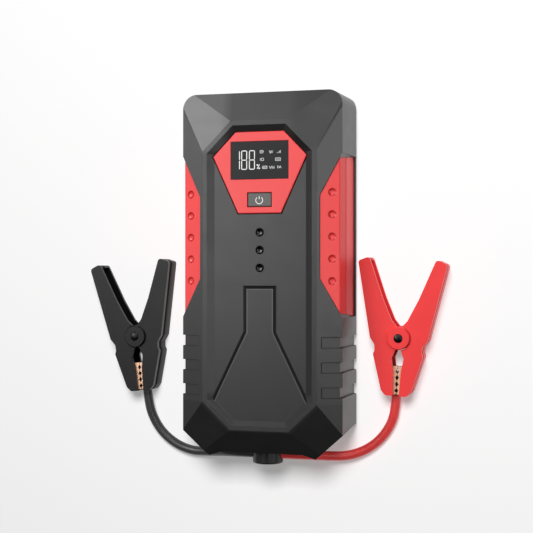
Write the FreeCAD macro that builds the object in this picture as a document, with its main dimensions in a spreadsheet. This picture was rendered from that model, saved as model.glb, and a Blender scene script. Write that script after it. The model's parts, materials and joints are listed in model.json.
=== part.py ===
# Jump starter pack with a pair of battery clamps on a pull-out lead, lying on its back.
# Frame: millimetres, +Z out of the display face, +Y towards the display end, +X to the right,
# origin on the floor under the middle of the case.

import FreeCAD
import Part
import Sketcher
import math
import os
from FreeCAD import Placement, Rotation, Vector

# Driving dimensions: alias, value in mm (or degrees, or a plain ratio), note.
DRIVING = [
    ("case_half_width", 43.15, "half width at the front edge"),
    ("case_half_length", 95.0, "half length"),
    ("facet_drop", 4.8, "front plateau above the edge round the facets"),
    ("case_wall", 3.2, "wall of both shells"),
    ("parting_height", 18.0, "height of the joint between the shells"),
    ("back_chamfer", 2.5, "chamfer round the back face"),
    ("corner_radius", 7.5, "upper corners seen from the front"),
    ("side_draft", 0.045, "side walls widen towards the back"),
    ("corner_draft", 0.06, "lower corner walls lean in towards the back"),
    ("tip_draft", 0.16, "tip walls lean in towards the back"),
    ("end_draft", 0.134, "lower end wall leans in towards the back"),
    ("corner_start", 82.1, "where the lower corner cut starts, below the middle"),
    ("tip_half_width", 28.65, "half distance between the two lower tips"),
    ("notch_half_width", 22.3, "half width of the shallow notch between the tips"),
    ("notch_depth", 2.4, "depth of that notch"),
    ("plateau_half_width", 30.7, "front plateau"),
    ("plateau_top", 80.0, "front plateau, upper edge"),
    ("plateau_top_half", 15.3, "half length of its upper edge"),
    ("shoulder_top", 64.4, "where its upper corners start"),
    ("plateau_bottom", 80.5, "front plateau, lower edge"),
    ("plateau_bottom_half", 15.7, "half length of its lower edge"),
    ("shoulder_bottom", 66.1, "where its lower corners start"),
    ("upper_corner_slope", 0.185, "slope of the upper corner facets"),
    ("lower_corner_slope", 0.242, "slope of the lower corner facets"),
    ("rim_width", 2.4, "flat rim round the sunk panel"),
    ("panel_depth", 1.8, "depth of the sunk panel"),
    ("panel_backing", 2.9, "thickness behind the sunk panel"),
    ("panel_side_run", 3.7, "plan width of the panel's side walls"),
    ("panel_top_run", 3.1, "plan width of the panel's upper walls"),
    ("panel_bottom_run", 2.6, "plan width of the panel's lower walls"),
    ("groove_depth", 0.8, "engraved outline"),
    ("groove_width", 1.7, "engraved outline"),
    ("neck_half_width", 9.0, "engraved outline, neck"),
    ("neck_top", -5.5, "engraved outline, neck top"),
    ("neck_bottom", -29.7, "engraved outline, where it starts to flare"),
    ("flare_half_width", 25.1, "engraved outline, foot"),
    ("flare_bottom", -62.5, "engraved outline, foot"),
    ("bezel_top", 74.2, "bezel, upper edge"),
    ("bezel_corner_inset", 2.45, "bezel, its upper corners inside the window's sides"),
    ("bezel_side_width", 9.8, "bezel beside the window, at its widest"),
    ("bezel_shoulder", 61.5, "bezel, height of its widest points"),
    ("bezel_bottom", 31.8, "bezel, lower edge"),
    ("bezel_bottom_half", 11.6, "bezel, half length of its lower edge"),
    ("bezel_thickness", 2.1, "bezel plate"),
    ("bezel_gap", 0.45, "gap round the bezel in its pocket"),
    ("bezel_pocket", 1.5, "depth of the bezel's pocket below the panel"),
    ("window_width", 30.9, "display window"),
    ("window_height", 19.5, "display window"),
    ("window_middle", 59.35, "display window, middle"),
    ("window_thickness", 1.9, "display window"),
    ("window_gap", 0.1, "gap round the display window"),
    ("window_ledge", 1.1, "ledge that carries the display window"),
    ("button_width", 12.6, "power button"),
    ("button_height", 7.0, "power button"),
    ("button_middle", 38.9, "power button, middle"),
    ("button_gap", 0.3, "gap round the power button"),
    ("button_travel", 0.7, "power button"),
    ("button_sink", 0.35, "power button below the bezel"),
    ("lens_radius", 2.25, "indicator lenses"),
    ("lens_pitch", 9.2, "indicator lenses"),
    ("lens_first", 22.1, "uppermost indicator lens"),
    ("lens_gap", 0.05, "gap round an indicator lens"),
    ("lens_dish", 0.75, "depth of the dished front of a lens"),
    ("grip_inner", 32.3, "side grips, inner edge on the facet"),
    ("grip_upper", 40.7, "side grips, upper end of the inner edge"),
    ("grip_lower", -1.8, "side grips, lower end of the inner edge"),
    ("grip_top", 62.3, "side grips, upper end on the side"),
    ("grip_bottom", -21.7, "side grips, lower end on the side"),
    ("grip_back", 3.6, "height where the side grips start"),
    ("grip_gap", 0.15, "gap round the side grips"),
    ("grip_facet_sink", 0.4, "side grips below the facets"),
    ("grip_side_sink", 1.2, "side grips below the side walls"),
    ("grip_thickness", 1.2, "side grips"),
    ("dimple_radius", 2.1, "grip dimples"),
    ("dimple_depth", 0.7, "grip dimples"),
    ("dimple_offset", 38.2, "grip dimples from the middle"),
    ("dimple_first", 42.3, "uppermost grip dimple"),
    ("dimple_pitch", 11.35, "grip dimples"),
    ("dimple_count", 5, "grip dimples on a side"),
    ("seam_height", 18.2, "groove along the side grips"),
    ("seam_width", 1.2, "groove along the side grips"),
    ("finger_notch_top", -31.7, "uppermost finger notch"),
    ("finger_notch_width", 5.5, "finger notches"),
    ("finger_notch_pitch", 12.8, "finger notches"),
    ("finger_notch_count", 3, "finger notches on a side"),
    ("finger_notch_inner", 33.0, "inner end of the finger notches"),
    ("finger_notch_facet", 0.5, "depth of the finger notches on the facet"),
    ("finger_notch_side", 1.3, "depth of the finger notches on the side"),
    ("boss_offset", 36.5, "screw bosses from the middle"),
    ("boss_upper", 78.0, "upper screw bosses"),
    ("boss_lower", -74.0, "lower screw bosses"),
    ("boss_radius", 4.2, "screw bosses of the rear shell"),
    ("boss_front_radius", 3.2, "screw bosses of the front shell"),
    ("screw_radius", 1.25, "screw thread"),
    ("screw_head_radius", 2.6, "screw head"),
    ("screw_head_height", 2.2, "screw head"),
    ("screw_seat", 8.0, "depth of the screw head below the back face"),
    ("screw_length", 17.0, "screw below its head"),
    ("screw_gap", 0.25, "gap round a screw"),
    ("lip_height", 1.6, "tongue of the front shell in the rear one"),
    ("lip_gap", 0.1, "gap at the tongue"),
    ("cell_width", 62.0, "pouch cell"),
    ("cell_length", 102.0, "pouch cell"),
    ("cell_thickness", 6.6, "pouch cell"),
    ("cell_count", 3, "pouch cells in the stack"),
    ("cell_gap", 0.2, "gap between stacked pieces"),
    ("cell_start", -62.0, "lower end of the cells"),
    ("cell_edge", 2.0, "rounded long edges of a cell"),
    ("foam_thickness", 1.0, "foam pad under the cells"),
    ("tab_width", 10.0, "cell tab"),
    ("tab_length", 4.0, "cell tab"),
    ("tab_thickness", 0.4, "cell tab"),
    ("tab_offset", 15.0, "cell tabs from the middle"),
    ("board_width", 65.6, "main board"),
    ("board_end_gap", 9.0, "main board short of the upper end"),
    ("board_start", -8.0, "lower edge of the main board"),
    ("board_thickness", 1.6, "main board"),
    ("board_depth", 9.6, "underside of the main board below the front plateau"),
    ("stack_room", 0.4, "room between the cell stack and the main board"),
    ("display_side_margin", 1.05, "display module past the window"),
    ("display_end_margin", 1.5, "display module past the window's upper and lower edges"),
    ("display_thickness", 3.0, "display module"),
    ("switch_size", 6.0, "button switch"),
    ("switch_height", 1.1, "button switch"),
    ("port_depth", 14.0, "USB-A port"),
    ("port_width", 13.1, "USB-A port"),
    ("port_height", 5.7, "USB-A port"),
    ("port_offset", -8.0, "USB-A port from the middle"),
    ("small_port_depth", 7.4, "USB-C port"),
    ("small_port_width", 9.0, "USB-C port"),
    ("small_port_height", 3.2, "USB-C port"),
    ("small_port_offset", -26.0, "USB-C port from the middle"),
    ("port_shell", 0.3, "sheet metal of the ports"),
    ("port_sink", 0.6, "ports behind the end wall's face"),
    ("port_gap", 0.2, "gap round the ports"),
    ("torch_radius", 5.9, "torch lens"),
    ("torch_offset", 20.0, "torch from the middle"),
    ("torch_height", 17.5, "torch axis"),
    ("torch_gap", 0.1, "gap round the torch lens"),
    ("torch_depth", 9.0, "torch reflector"),
    ("plug_radius", 8.0, "lead plug"),
    ("plug_height", 17.5, "axis of the lead plug"),
    ("plug_stand", 4.3, "lead plug past the lower end of the case"),
    ("plug_seat_depth", 8.8, "mouth of the jump socket inside the lower end"),
    ("plug_gap", 0.3, "gap round the lead plug in the case"),
    ("plug_edge", 1.0, "rounded outer edge of the lead plug"),
    ("nose_width", 13.6, "nose of the lead plug"),
    ("nose_height", 7.6, "nose of the lead plug"),
    ("nose_length", 10.2, "nose of the lead plug"),
    ("nose_gap", 0.1, "gap round the nose in the socket"),
    ("socket_width", 22.0, "jump socket"),
    ("socket_height", 16.0, "jump socket"),
    ("socket_depth", 14.7, "jump socket"),
    ("pin_radius", 1.6, "socket pins"),
    ("pin_offset", 3.4, "socket pins from the middle"),
    ("pin_reach", 8.0, "socket pins in front of the socket's back wall"),
    ("pin_gap", 0.05, "gap between a pin and its sleeve"),
    ("sleeve_radius", 2.4, "plug contact sleeves"),
    ("sleeve_length", 9.4, "plug contact sleeves"),
    ("bar_thickness", 0.8, "copper bars from the cells to the socket"),
    ("bar_width", 8.0, "copper bars from the cells to the socket"),
    ("cord_diameter", 5.0, "clamp leads"),
    ("cord_outlet_inset", 4.9, "clamp leads from the outer end of the plug"),
    ("cord_seat", 3.0, "inner end of the leads in the plug"),
    ("clamp_height", 12.6, "clamp arm across its cheeks"),
    ("cheek", 1.8, "clamp arm cheek"),
    ("spine", 2.0, "clamp arm spine"),
    ("ear_gap", 0.3, "gap between the lapped ears of a clamp"),
    ("ear", 1.6, "inner ear of a clamp"),
    ("disc_radius", 6.0, "round end of the outer ears"),
    ("disc_rise", 1.4, "disc above the front cheek"),
    ("rivet_radius", 2.0, "clamp rivet"),
    ("rivet_gap", 0.05, "gap round the rivet in the moving arm"),
    ("rivet_head_radius", 2.5, "clamp rivet"),
    ("rivet_head_height", 0.6, "clamp rivet"),
    ("handle_reach", 41.6, "clamp handle end from the pivot"),
    ("handle_spread", 23.3, "clamp handle end from the middle"),
    ("jaw_reach", 30.0, "clamp jaw tip from the pivot"),
    ("tip_wall", 0.8, "end wall of the arm at the jaw tip"),
    ("jaw_sheet", 1.0, "copper of the jaws"),
    ("tooth_depth", 0.9, "teeth of the jaws"),
    ("tooth_pitch", 3.4, "teeth of the jaws"),
    ("ferrule_length", 11.0, "crimped end of a lead"),
    ("ferrule_height", 4.3, "axis of the crimped end"),
    ("ferrule_offset", 1.0, "crimped end from the middle of the clamp"),
    ("spring_wire", 0.9, "clamp spring"),
    ("spring_radius", 3.4, "clamp spring, middle of the wire"),
    ("spring_pitch", 1.15, "clamp spring"),
    ("spring_reach", 9.0, "legs of the clamp spring from the pivot"),
    ("black_clamp_across", -77.5, "pivot of the black clamp"),
    ("black_clamp_along", -34.0, "pivot of the black clamp"),
    ("black_clamp_turn", 5.5, "turn of the black clamp in degrees"),
    ("red_clamp_across", 68.8, "pivot of the red clamp"),
    ("red_clamp_along", -32.8, "pivot of the red clamp"),
    ("red_clamp_turn", -3.0, "turn of the red clamp in degrees"),
]

UP = Vector(0, 0, 1)
ALONG = Vector(0, 1, 0)
ACROSS = Vector(1, 0, 0)
FAR = 200.0

doc = FreeCAD.newDocument("jump_starter_pack")
sizes = doc.addObject("Spreadsheet::Sheet", "sizes")
for row, (alias, value, note) in enumerate(DRIVING, start=1):
    sizes.set(f"A{row}", note)
    sizes.set(f"B{row}", str(value))
    sizes.setAlias(f"B{row}", alias)
doc.recompute()

nodes = []


def size(alias):
    return float(getattr(sizes, alias))


def add_stacked_size(alias, value, note):
    """A height that follows from the pieces stacked under it."""
    row = len(DRIVING) + 1 + len(stacked)
    sizes.set(f"A{row}", note)
    sizes.set(f"B{row}", str(round(value, 6)))
    sizes.setAlias(f"B{row}", alias)
    stacked.append(alias)
    doc.recompute()


stacked = []
cell_low = size("case_wall") + size("cell_gap") + size("foam_thickness") + size("cell_gap")
cell_step = size("cell_thickness") + size("cell_gap")
stack_top = cell_low + cell_step * int(size("cell_count"))
add_stacked_size("board_height", stack_top + size("stack_room"), "underside of the main board")
add_stacked_size("case_height", size("board_height") + size("board_depth"), "front plateau")
add_stacked_size("front_edge_height", size("case_height") - size("facet_drop"),
                 "edge round the facets")


# ---------------------------------------------------------------- outlines and simple solids


def mirrored(right_half):
    """Close an outline from its right half, which runs from the top to the bottom."""
    return right_half + [(-x, y) for x, y in reversed(right_half)]


def moved_in(outline, distances):
    """Move each edge of a clockwise outline inwards by its own distance."""
    lines = []
    for i, (x, y) in enumerate(outline):
        next_x, next_y = outline[(i + 1) % len(outline)]
        length = math.hypot(next_x - x, next_y - y)
        run_x, run_y = (next_x - x) / length, (next_y - y) / length
        lines.append((x + run_y * distances[i], y - run_x * distances[i], run_x, run_y))
    corners = []
    for i, (x, y, run_x, run_y) in enumerate(lines):
        other_x, other_y, other_run_x, other_run_y = lines[i - 1]
        cross = run_x * other_run_y - run_y * other_run_x
        step = ((other_x - x) * other_run_y - (other_y - y) * other_run_x) / cross
        corners.append((x + run_x * step, y + run_y * step))
    return corners


def flat_face(outline, height):
    corners = [Vector(x, y, height) for x, y in outline]
    return Part.Face(Part.makePolygon(corners + corners[:1]))


def prism(outline, low, high):
    return flat_face(outline, low).extrude(UP * (high - low))


def frustum(outline_low, low, outline_high, high):
    """Closed solid between two outlines whose matching edges are parallel."""
    lower = [Vector(x, y, low) for x, y in outline_low]
    upper = [Vector(x, y, high) for x, y in outline_high]
    faces = [flat_face(outline_low, low), flat_face(outline_high, high)]
    for i in range(len(lower)):
        j = (i + 1) % len(lower)
        corners = [lower[i], lower[j], upper[j], upper[i], lower[i]]
        faces.append(Part.Face(Part.makePolygon(corners)))
    solid = Part.Solid(Part.Shell(faces))
    solid.fix(0.001, 0.001, 0.001)
    return solid if solid.Volume > 0 else solid.reversed()


def block(low_x, high_x, low_y, high_y, low_z, high_z):
    corner = Vector(low_x, low_y, low_z)
    return Part.makeBox(high_x - low_x, high_y - low_y, high_z - low_z, corner)


def cylinder(radius, start, direction, length):
    return Part.makeCylinder(radius, length, start, direction)


def trimmed(solid, point, normal):
    """Cut away what lies beyond a plane."""
    beyond = Part.makeBox(2 * FAR, 2 * FAR, FAR, Vector(-FAR, -FAR, 0))
    beyond.Placement = Placement(point, Rotation(UP, normal))
    return solid.cut(beyond)


def both_sides(solid):
    return solid.fuse(solid.mirror(Vector(0, 0, 0), ACROSS))


def add_feature(label, shape, placement=None):
    """A sub-part whose shape is worked out from the sheet."""
    feature = doc.addObject("Part::Feature", label)
    feature.Label = label
    if shape.ShapeType == "Compound" and len(shape.Solids) == 1:
        shape = shape.Solids[0]
    feature.Shape = shape
    if placement is not None:
        feature.Placement = placement
    nodes.append(feature)
    return feature


# ---------------------------------------------------------------- parametric helpers


def bound(thing, **expressions):
    """Bind properties of a document object to expressions on the sheet."""
    for name, expression in expressions.items():
        thing.setExpression(name.replace("__", "."), in_sheet(expression))
    return thing


def in_sheet(expression):
    """Words in an expression are aliases of the sheet."""
    out = []
    word = ""
    for letter in expression + " ":
        if letter.isalpha() or letter == "_" or (word and letter.isdigit()):
            word += letter
            continue
        if word:
            out.append(f"sizes.{word}")
            word = ""
        out.append(letter)
    return "".join(out).strip()


def add_ball(label, x, y, z, radius):
    """Part::Sphere whose centre and radius are expressions."""
    ball = doc.addObject("Part::Sphere", label)
    ball.Label = label
    bound(ball, Radius=radius)
    bound(ball, Placement__Base__x=x, Placement__Base__y=y, Placement__Base__z=z)
    return ball


def add_cylinder(label, x, y, z, radius, height):
    """Upright Part::Cylinder whose lower centre and sizes are expressions."""
    rod = doc.addObject("Part::Cylinder", label)
    rod.Label = label
    bound(rod, Radius=radius, Height=height)
    bound(rod, Placement__Base__x=x, Placement__Base__y=y, Placement__Base__z=z)
    return rod


def add_cut(label, base, tool):
    """Part::Cut that is a sub-part of its own."""
    cut = doc.addObject("Part::Cut", label)
    cut.Label = label
    cut.Base = base
    cut.Tool = tool
    nodes.append(cut)
    return cut


def origin_plane(body, role):
    return next(f for f in body.Origin.OriginFeatures if f.Role == role)


def rectangle_sketch(body, name, middle_x, middle_y, width, length, height):
    """Rectangle parallel to the floor; every argument is an expression."""
    sketch = body.newObject("Sketcher::SketchObject", name)
    sketch.AttachmentSupport = [(origin_plane(body, "XY_Plane"), "")]
    sketch.MapMode = "FlatFace"
    bound(sketch, AttachmentOffset__Base__z=height)
    corners = [Vector(0, 0, 0), Vector(9, 0, 0), Vector(9, 9, 0), Vector(0, 9, 0)]
    for i in range(4):
        sketch.addGeometry(Part.LineSegment(corners[i], corners[(i + 1) % 4]), False)
    for i in range(4):
        sketch.addConstraint(Sketcher.Constraint("Coincident", i, 2, (i + 1) % 4, 1))
        kind = "Horizontal" if i % 2 == 0 else "Vertical"
        sketch.addConstraint(Sketcher.Constraint(kind, i))
    rules = [
        ("wide", Sketcher.Constraint("DistanceX", 0, 1, 0, 2, 9), width),
        ("deep", Sketcher.Constraint("DistanceY", 1, 1, 1, 2, 9), length),
        ("left", Sketcher.Constraint("DistanceX", -1, 1, 0, 1, 1), f"{middle_x} - ({width}) / 2"),
        ("low", Sketcher.Constraint("DistanceY", -1, 1, 0, 1, 1), f"{middle_y} - ({length}) / 2"),
    ]
    for rule, constraint, expression in rules:
        index = sketch.addConstraint(constraint)
        sketch.renameConstraint(index, rule)
        sketch.setExpression(f"Constraints.{rule}", in_sheet(expression))
    return sketch


def padded(body, sketch, name, length):
    pad = body.newObject("PartDesign::Pad", name)
    pad.Profile = sketch
    bound(pad, Length=length)
    sketch.Visibility = False
    return pad


def add_plate(label, middle_x, middle_y, width, length, low, thickness):
    """PartDesign body made of one padded rectangle."""
    body = doc.addObject("PartDesign::Body", label)
    body.Label = label
    sketch = rectangle_sketch(body, label + "_sketch", middle_x, middle_y, width, length, low)
    padded(body, sketch, label + "_pad", thickness)
    nodes.append(body)
    return body



# ---------------------------------------------------------------- case outline and facets


def case_outline():
    """Clockwise outline at the front edge, from the upper right corner."""
    wide, end = size("case_half_width"), size("case_half_length")
    corner = size("corner_start")
    tip, notch = size("tip_half_width"), size("notch_half_width")
    return mirrored([(wide, end), (wide, -corner), (tip, -end), (notch, -end + size("notch_depth"))])


def plateau_outline():
    return mirrored([
        (size("plateau_top_half"), size("plateau_top")),
        (size("plateau_half_width"), size("shoulder_top")),
        (size("plateau_half_width"), -size("shoulder_bottom")),
        (size("plateau_bottom_half"), -size("plateau_bottom")),
    ])


def round_walls(side, corner, tip, bottom, top):
    """One value for each edge of the case outline."""
    return [side, corner, tip, bottom, tip, corner, side, top]


def outline_at(height, sink):
    """Case outline at a height, with its walls moved in by sink."""
    below = size("front_edge_height") - height
    return moved_in(case_outline(), round_walls(
        sink - size("side_draft") * below,
        sink + size("corner_draft") * below,
        sink + size("tip_draft") * below,
        sink + size("end_draft") * below,
        sink,
    ))


def case_hull(facet_sink, wall_sink, back_sink=0.0):
    """Outer form of the case, with its facets, walls and back moved in."""
    top = size("case_height")
    drop = top - size("front_edge_height")
    side_slope = drop / (size("case_half_width") - size("plateau_half_width"))
    top_slope = drop / (size("case_half_length") - size("plateau_top"))
    bottom_end = size("case_half_length") - size("notch_depth")
    bottom_slope = drop / (bottom_end - size("plateau_bottom"))
    upper, lower = size("upper_corner_slope"), size("lower_corner_slope")
    slopes = [upper, side_slope, lower, bottom_slope, lower, side_slope, upper, top_slope]

    hull = frustum(outline_at(0, wall_sink), 0, outline_at(top, wall_sink), top)
    radius = max(size("corner_radius") - wall_sink, 1.0)
    corners = [e for e in hull.Edges if e.BoundBox.ZLength > drop and e.BoundBox.YMin > 0]
    hull = hull.makeFillet(radius, corners)
    hull = trimmed(hull, Vector(0, 0, top - facet_sink), UP)
    hull = trimmed(hull, Vector(0, 0, back_sink), UP * -1)

    outline = plateau_outline()
    for i, slope in enumerate(slopes):
        x, y = outline[i]
        next_x, next_y = outline[(i + 1) % len(outline)]
        out = Vector(y - next_y, next_x - x, 0).normalize()
        lean = (out * slope + UP).normalize()
        hull = trimmed(hull, Vector(x, y, top) - lean * facet_sink, lean)

    bevel = size("back_chamfer") - wall_sink * math.tan(math.pi / 8)
    if back_sink == 0.0 and bevel > 0:
        low = outline_at(0, wall_sink)
        for i in (0, 1, 3, 5, 6, 7):
            x, y = low[i]
            next_x, next_y = low[(i + 1) % len(low)]
            out = Vector(y - next_y, next_x - x, 0).normalize()
            hull = trimmed(hull, Vector(x, y, 0) - out * bevel, (out - UP).normalize())
    return hull


hull = case_hull(0, 0)
cavity = case_hull(size("case_wall"), size("case_wall"), size("case_wall"))
shell = hull.cut(cavity)
case_top = size("case_height")
parting = size("parting_height")
end = size("case_half_length")
panel = case_top - size("panel_depth")
above_parting = block(-FAR, FAR, -FAR, FAR, parting, FAR)
below_parting = block(-FAR, FAR, -FAR, FAR, -FAR, parting)


# ---------------------------------------------------------------- side grips


def grip_region(gap):
    """Prism over the right side grip, out past the side wall."""
    wide = size("case_half_width")
    top, bottom, inner = size("grip_top"), size("grip_bottom"), size("grip_inner")
    outline = [
        (inner, size("grip_upper")), (wide, top), (wide + FAR, top), (wide + FAR, bottom),
        (wide, bottom), (inner, size("grip_lower")),
    ]
    outline = moved_in(outline, [-gap] * len(outline))
    return prism(outline, size("grip_back") - gap, case_top + 1)


grip_under = size("grip_thickness")
grip_bed = case_hull(
    size("grip_facet_sink") + grip_under,
    size("grip_side_sink") + grip_under,
)
grip_face = case_hull(size("grip_facet_sink"), size("grip_side_sink"))
grip_pocket = both_sides(grip_region(size("grip_gap")).cut(grip_bed))


def side_grip():
    grip = grip_face.cut(grip_bed).common(grip_region(0))
    drop = case_top - size("front_edge_height")
    slope = drop / (size("case_half_width") - size("plateau_half_width"))
    lean = (ACROSS * slope + UP).normalize()
    on_facet = Vector(size("plateau_half_width"), 0, case_top) - lean * size("grip_facet_sink")
    run = size("dimple_offset") - size("plateau_half_width")
    foot = on_facet + Vector(run, 0, -run * slope)
    depth, radius = size("dimple_depth"), size("dimple_radius")
    ball = (radius ** 2 + depth ** 2) / (2 * depth)
    for i in range(int(size("dimple_count"))):
        y = size("dimple_first") - i * size("dimple_pitch")
        middle = foot + lean * (ball - depth) + ALONG * y
        grip = grip.cut(Part.makeSphere(ball, middle))
    low = size("seam_height")
    seam = block(0, FAR, -FAR, FAR, low, low + size("seam_width"))
    seam_bed = case_hull(0, size("grip_side_sink") + grip_under / 2)
    return grip.cut(seam.cut(seam_bed))


right_grip = side_grip()
add_feature("side_grip_right", right_grip)
add_feature("side_grip_left", right_grip.mirror(Vector(0, 0, 0), ACROSS))


# ---------------------------------------------------------------- openings shared by the shells


def finger_notches():
    bed = case_hull(size("finger_notch_facet"), size("finger_notch_side"))
    cutters = []
    for i in range(int(size("finger_notch_count"))):
        top = size("finger_notch_top") - i * size("finger_notch_pitch")
        low = top - size("finger_notch_width")
        cutters.append(block(size("finger_notch_inner"), FAR, low, top, -1, case_top + 1))
    notches = cutters[0].multiFuse(cutters[1:]).cut(bed)
    return both_sides(notches)


def plug_opening():
    start = Vector(0, -end - 1, size("plug_height"))
    depth = size("plug_seat_depth") + 1
    return cylinder(size("plug_radius") + size("plug_gap"), start, ALONG, depth)


def torch_opening():
    start = Vector(size("torch_offset"), end - 2 * size("case_wall"), size("torch_height"))
    return cylinder(size("torch_radius") + size("torch_gap"), start, ALONG, FAR)


def port_opening(offset, width, height):
    gap = size("port_gap")
    top = size("board_height") + gap
    return block(
        offset - width / 2 - gap, offset + width / 2 + gap,
        end - 2 * size("case_wall"), FAR, top - height - 2 * gap, top,
    )


def boss_places():
    wide = size("boss_offset")
    return [(side * wide, y) for y in (size("boss_upper"), size("boss_lower")) for side in (-1, 1)]


shared_cuts = [grip_pocket, finger_notches(), plug_opening(), torch_opening()]


# ---------------------------------------------------------------- front shell


def rim_inside():
    outline = plateau_outline()
    return moved_in(outline, [size("rim_width")] * len(outline))


def panel_outline():
    side, top, low = size("panel_side_run"), size("panel_top_run"), size("panel_bottom_run")
    return moved_in(rim_inside(), [top, side, low, low, low, side, top, top])


def bezel_outline():
    return mirrored([
        (size("window_width") / 2 - size("bezel_corner_inset"), size("bezel_top")),
        (size("window_width") / 2 + size("bezel_side_width"), size("bezel_shoulder")),
        (size("bezel_bottom_half"), size("bezel_bottom")),
    ])


def engraved_outline():
    """Neck and flared foot of the line engraved in the panel."""
    neck, foot = size("neck_half_width"), size("flare_half_width")
    low = size("flare_bottom")
    slope = (foot - neck) / (size("neck_bottom") - low)
    past = case_top
    return mirrored([
        (neck, size("neck_top")), (neck, size("neck_bottom")), (foot + past * slope, low - past),
    ])


def engraved_groove():
    outer = engraved_outline()
    open_foot = [1, 1, 0, 1, 1, 1]
    width, depth = size("groove_width"), size("groove_depth")
    middle = moved_in(outer, [width * 0.65 * side for side in open_foot])
    inner = moved_in(outer, [width * side for side in open_foot])
    valley = frustum(middle, panel - depth, outer, panel)
    island = frustum(middle, panel - depth, inner, panel)
    above = prism(outer, panel, case_top).cut(prism(inner, panel, case_top))
    groove = valley.cut(island).fuse(above)
    return groove.common(prism(panel_outline(), 0, case_top))


def window_block(margin, low, high):
    wide, tall = size("window_width") / 2 + margin, size("window_height") / 2 + margin
    middle = size("window_middle")
    return block(-wide, wide, middle - tall, middle + tall, low, high)


def button_block(margin, low, high):
    wide, tall = size("button_width") / 2 + margin, size("button_height") / 2 + margin
    middle = size("button_middle")
    return block(-wide, wide, middle - tall, middle + tall, low, high)


def lens_places():
    return [size("lens_first") - i * size("lens_pitch") for i in range(3)]


pocket_floor = panel - size("bezel_pocket")
backing_floor = panel - size("panel_backing")


def front_shell():
    front = shell.common(above_parting)
    backing = prism(moved_in(rim_inside(), [0.0] * 8), backing_floor, case_top).common(hull)
    front = front.fuse(backing)
    for x, y in boss_places():
        start = Vector(x, y, parting)
        front = front.fuse(cylinder(size("boss_front_radius"), start, UP, case_top).common(hull))
    lip_low = parting - size("lip_height")
    middle = case_hull(size("case_wall") / 2, size("case_wall") / 2)
    lip = middle.cut(cavity).common(block(-FAR, FAR, -FAR, FAR, lip_low, parting))
    front = front.fuse(lip)
    cuts = list(shared_cuts)
    cuts.append(frustum(panel_outline(), panel, rim_inside(), case_top + 0.001))
    cuts.append(prism(moved_in(bezel_outline(), [-size("bezel_gap")] * 6), pocket_floor, case_top))
    cuts.append(window_block(-size("window_ledge"), 0, case_top))
    cuts.append(button_block(size("button_gap"), 0, case_top))
    cuts.append(engraved_groove())
    cuts.append(port_opening(size("port_offset"), size("port_width"), size("port_height")))
    cuts.append(port_opening(
        size("small_port_offset"), size("small_port_width"), size("small_port_height")))
    for y in lens_places():
        radius = size("lens_radius") + size("lens_gap")
        cuts.append(cylinder(radius, Vector(0, y, 0), UP, case_top))
    for x, y in boss_places():
        depth = size("screw_seat") + size("screw_length") + size("screw_gap")
        cuts.append(cylinder(size("screw_radius"), Vector(x, y, 0), UP, depth))
    for cutter in cuts:
        front = front.cut(cutter)
    return front.removeSplitter()


add_feature("front_shell", front_shell())


# ---------------------------------------------------------------- rear shell


def rear_shell():
    rear = shell.common(below_parting)
    gap = size("screw_gap")
    for x, y in boss_places():
        post = cylinder(size("boss_radius"), Vector(x, y, 0), UP, parting)
        rear = rear.fuse(post.common(hull))
    lip_low = parting - size("lip_height") - size("lip_gap")
    sink = size("case_wall") / 2 - size("lip_gap")
    lip_room = case_hull(sink, sink).common(block(-FAR, FAR, -FAR, FAR, lip_low, parting))
    for x, y in boss_places():
        keep = cylinder(size("boss_radius"), Vector(x, y, 0), UP, parting).common(cavity)
        lip_room = lip_room.cut(keep)
    rear = rear.cut(lip_room)
    for cutter in shared_cuts:
        rear = rear.cut(cutter)
    for x, y in boss_places():
        foot = Vector(x, y, 0)
        rear = rear.cut(cylinder(size("screw_head_radius") + gap, foot, UP, size("screw_seat")))
        rear = rear.cut(cylinder(size("screw_radius") + gap, foot, UP, parting))
    return rear.removeSplitter()


add_feature("rear_shell", rear_shell())


def case_screws():
    screws = []
    for x, y in boss_places():
        seat = Vector(x, y, size("screw_seat"))
        head = cylinder(size("screw_head_radius"), seat, UP * -1, size("screw_head_height"))
        socket = cylinder(size("screw_radius"), seat - UP * size("screw_head_height"), UP, 1.2)
        shank = cylinder(size("screw_radius"), seat, UP, size("screw_length"))
        screws.append(head.cut(socket).fuse(shank))
    return Part.makeCompound(screws)


add_feature("case_screws", case_screws())


# ---------------------------------------------------------------- bezel, window, button, lenses


def display_bezel():
    low, high = pocket_floor, pocket_floor + size("bezel_thickness")
    bevel = 0.4
    outline = bezel_outline()
    inner = moved_in(outline, [bevel] * 6)
    plate = prism(outline, low, high - bevel).fuse(frustum(outline, high - bevel, inner, high))
    plate = plate.cut(window_block(size("window_gap"), 0, case_top))
    return plate.cut(button_block(size("button_gap"), 0, case_top)).removeSplitter()


add_feature("display_bezel", display_bezel())
add_plate("display_window", "0", "window_middle", "window_width", "window_height",
          "case_height - panel_depth - bezel_pocket", "window_thickness")
add_plate("display_module", "0", "window_middle",
          "window_width + 2 * display_side_margin", "window_height + 2 * display_end_margin",
          "board_height + board_thickness", "display_thickness")


def power_button():
    top = pocket_floor + size("bezel_thickness") - size("button_sink")
    flange_top = backing_floor - 0.1
    flange = 0.6
    cap = button_block(0, flange_top, top)
    cap = cap.makeFillet(0.5, [e for e in cap.Edges if e.BoundBox.ZMin > top - 0.01])
    cap = cap.fuse(button_block(size("button_gap") + 0.8, flange_top - flange, flange_top))
    x, y = 4.0, 2.0
    middle = size("button_middle")
    switch_top = size("board_height") + size("board_thickness") + size("switch_height")
    foot = switch_top + size("button_travel") + 0.05
    stem = block(-x, x, middle - y, middle + y, foot, flange_top)
    return cap.fuse(stem).removeSplitter()


add_feature("power_button", power_button())
add_plate("button_switch", "0", "button_middle", "switch_size", "switch_size",
          "board_height + board_thickness", "switch_height")


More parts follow.
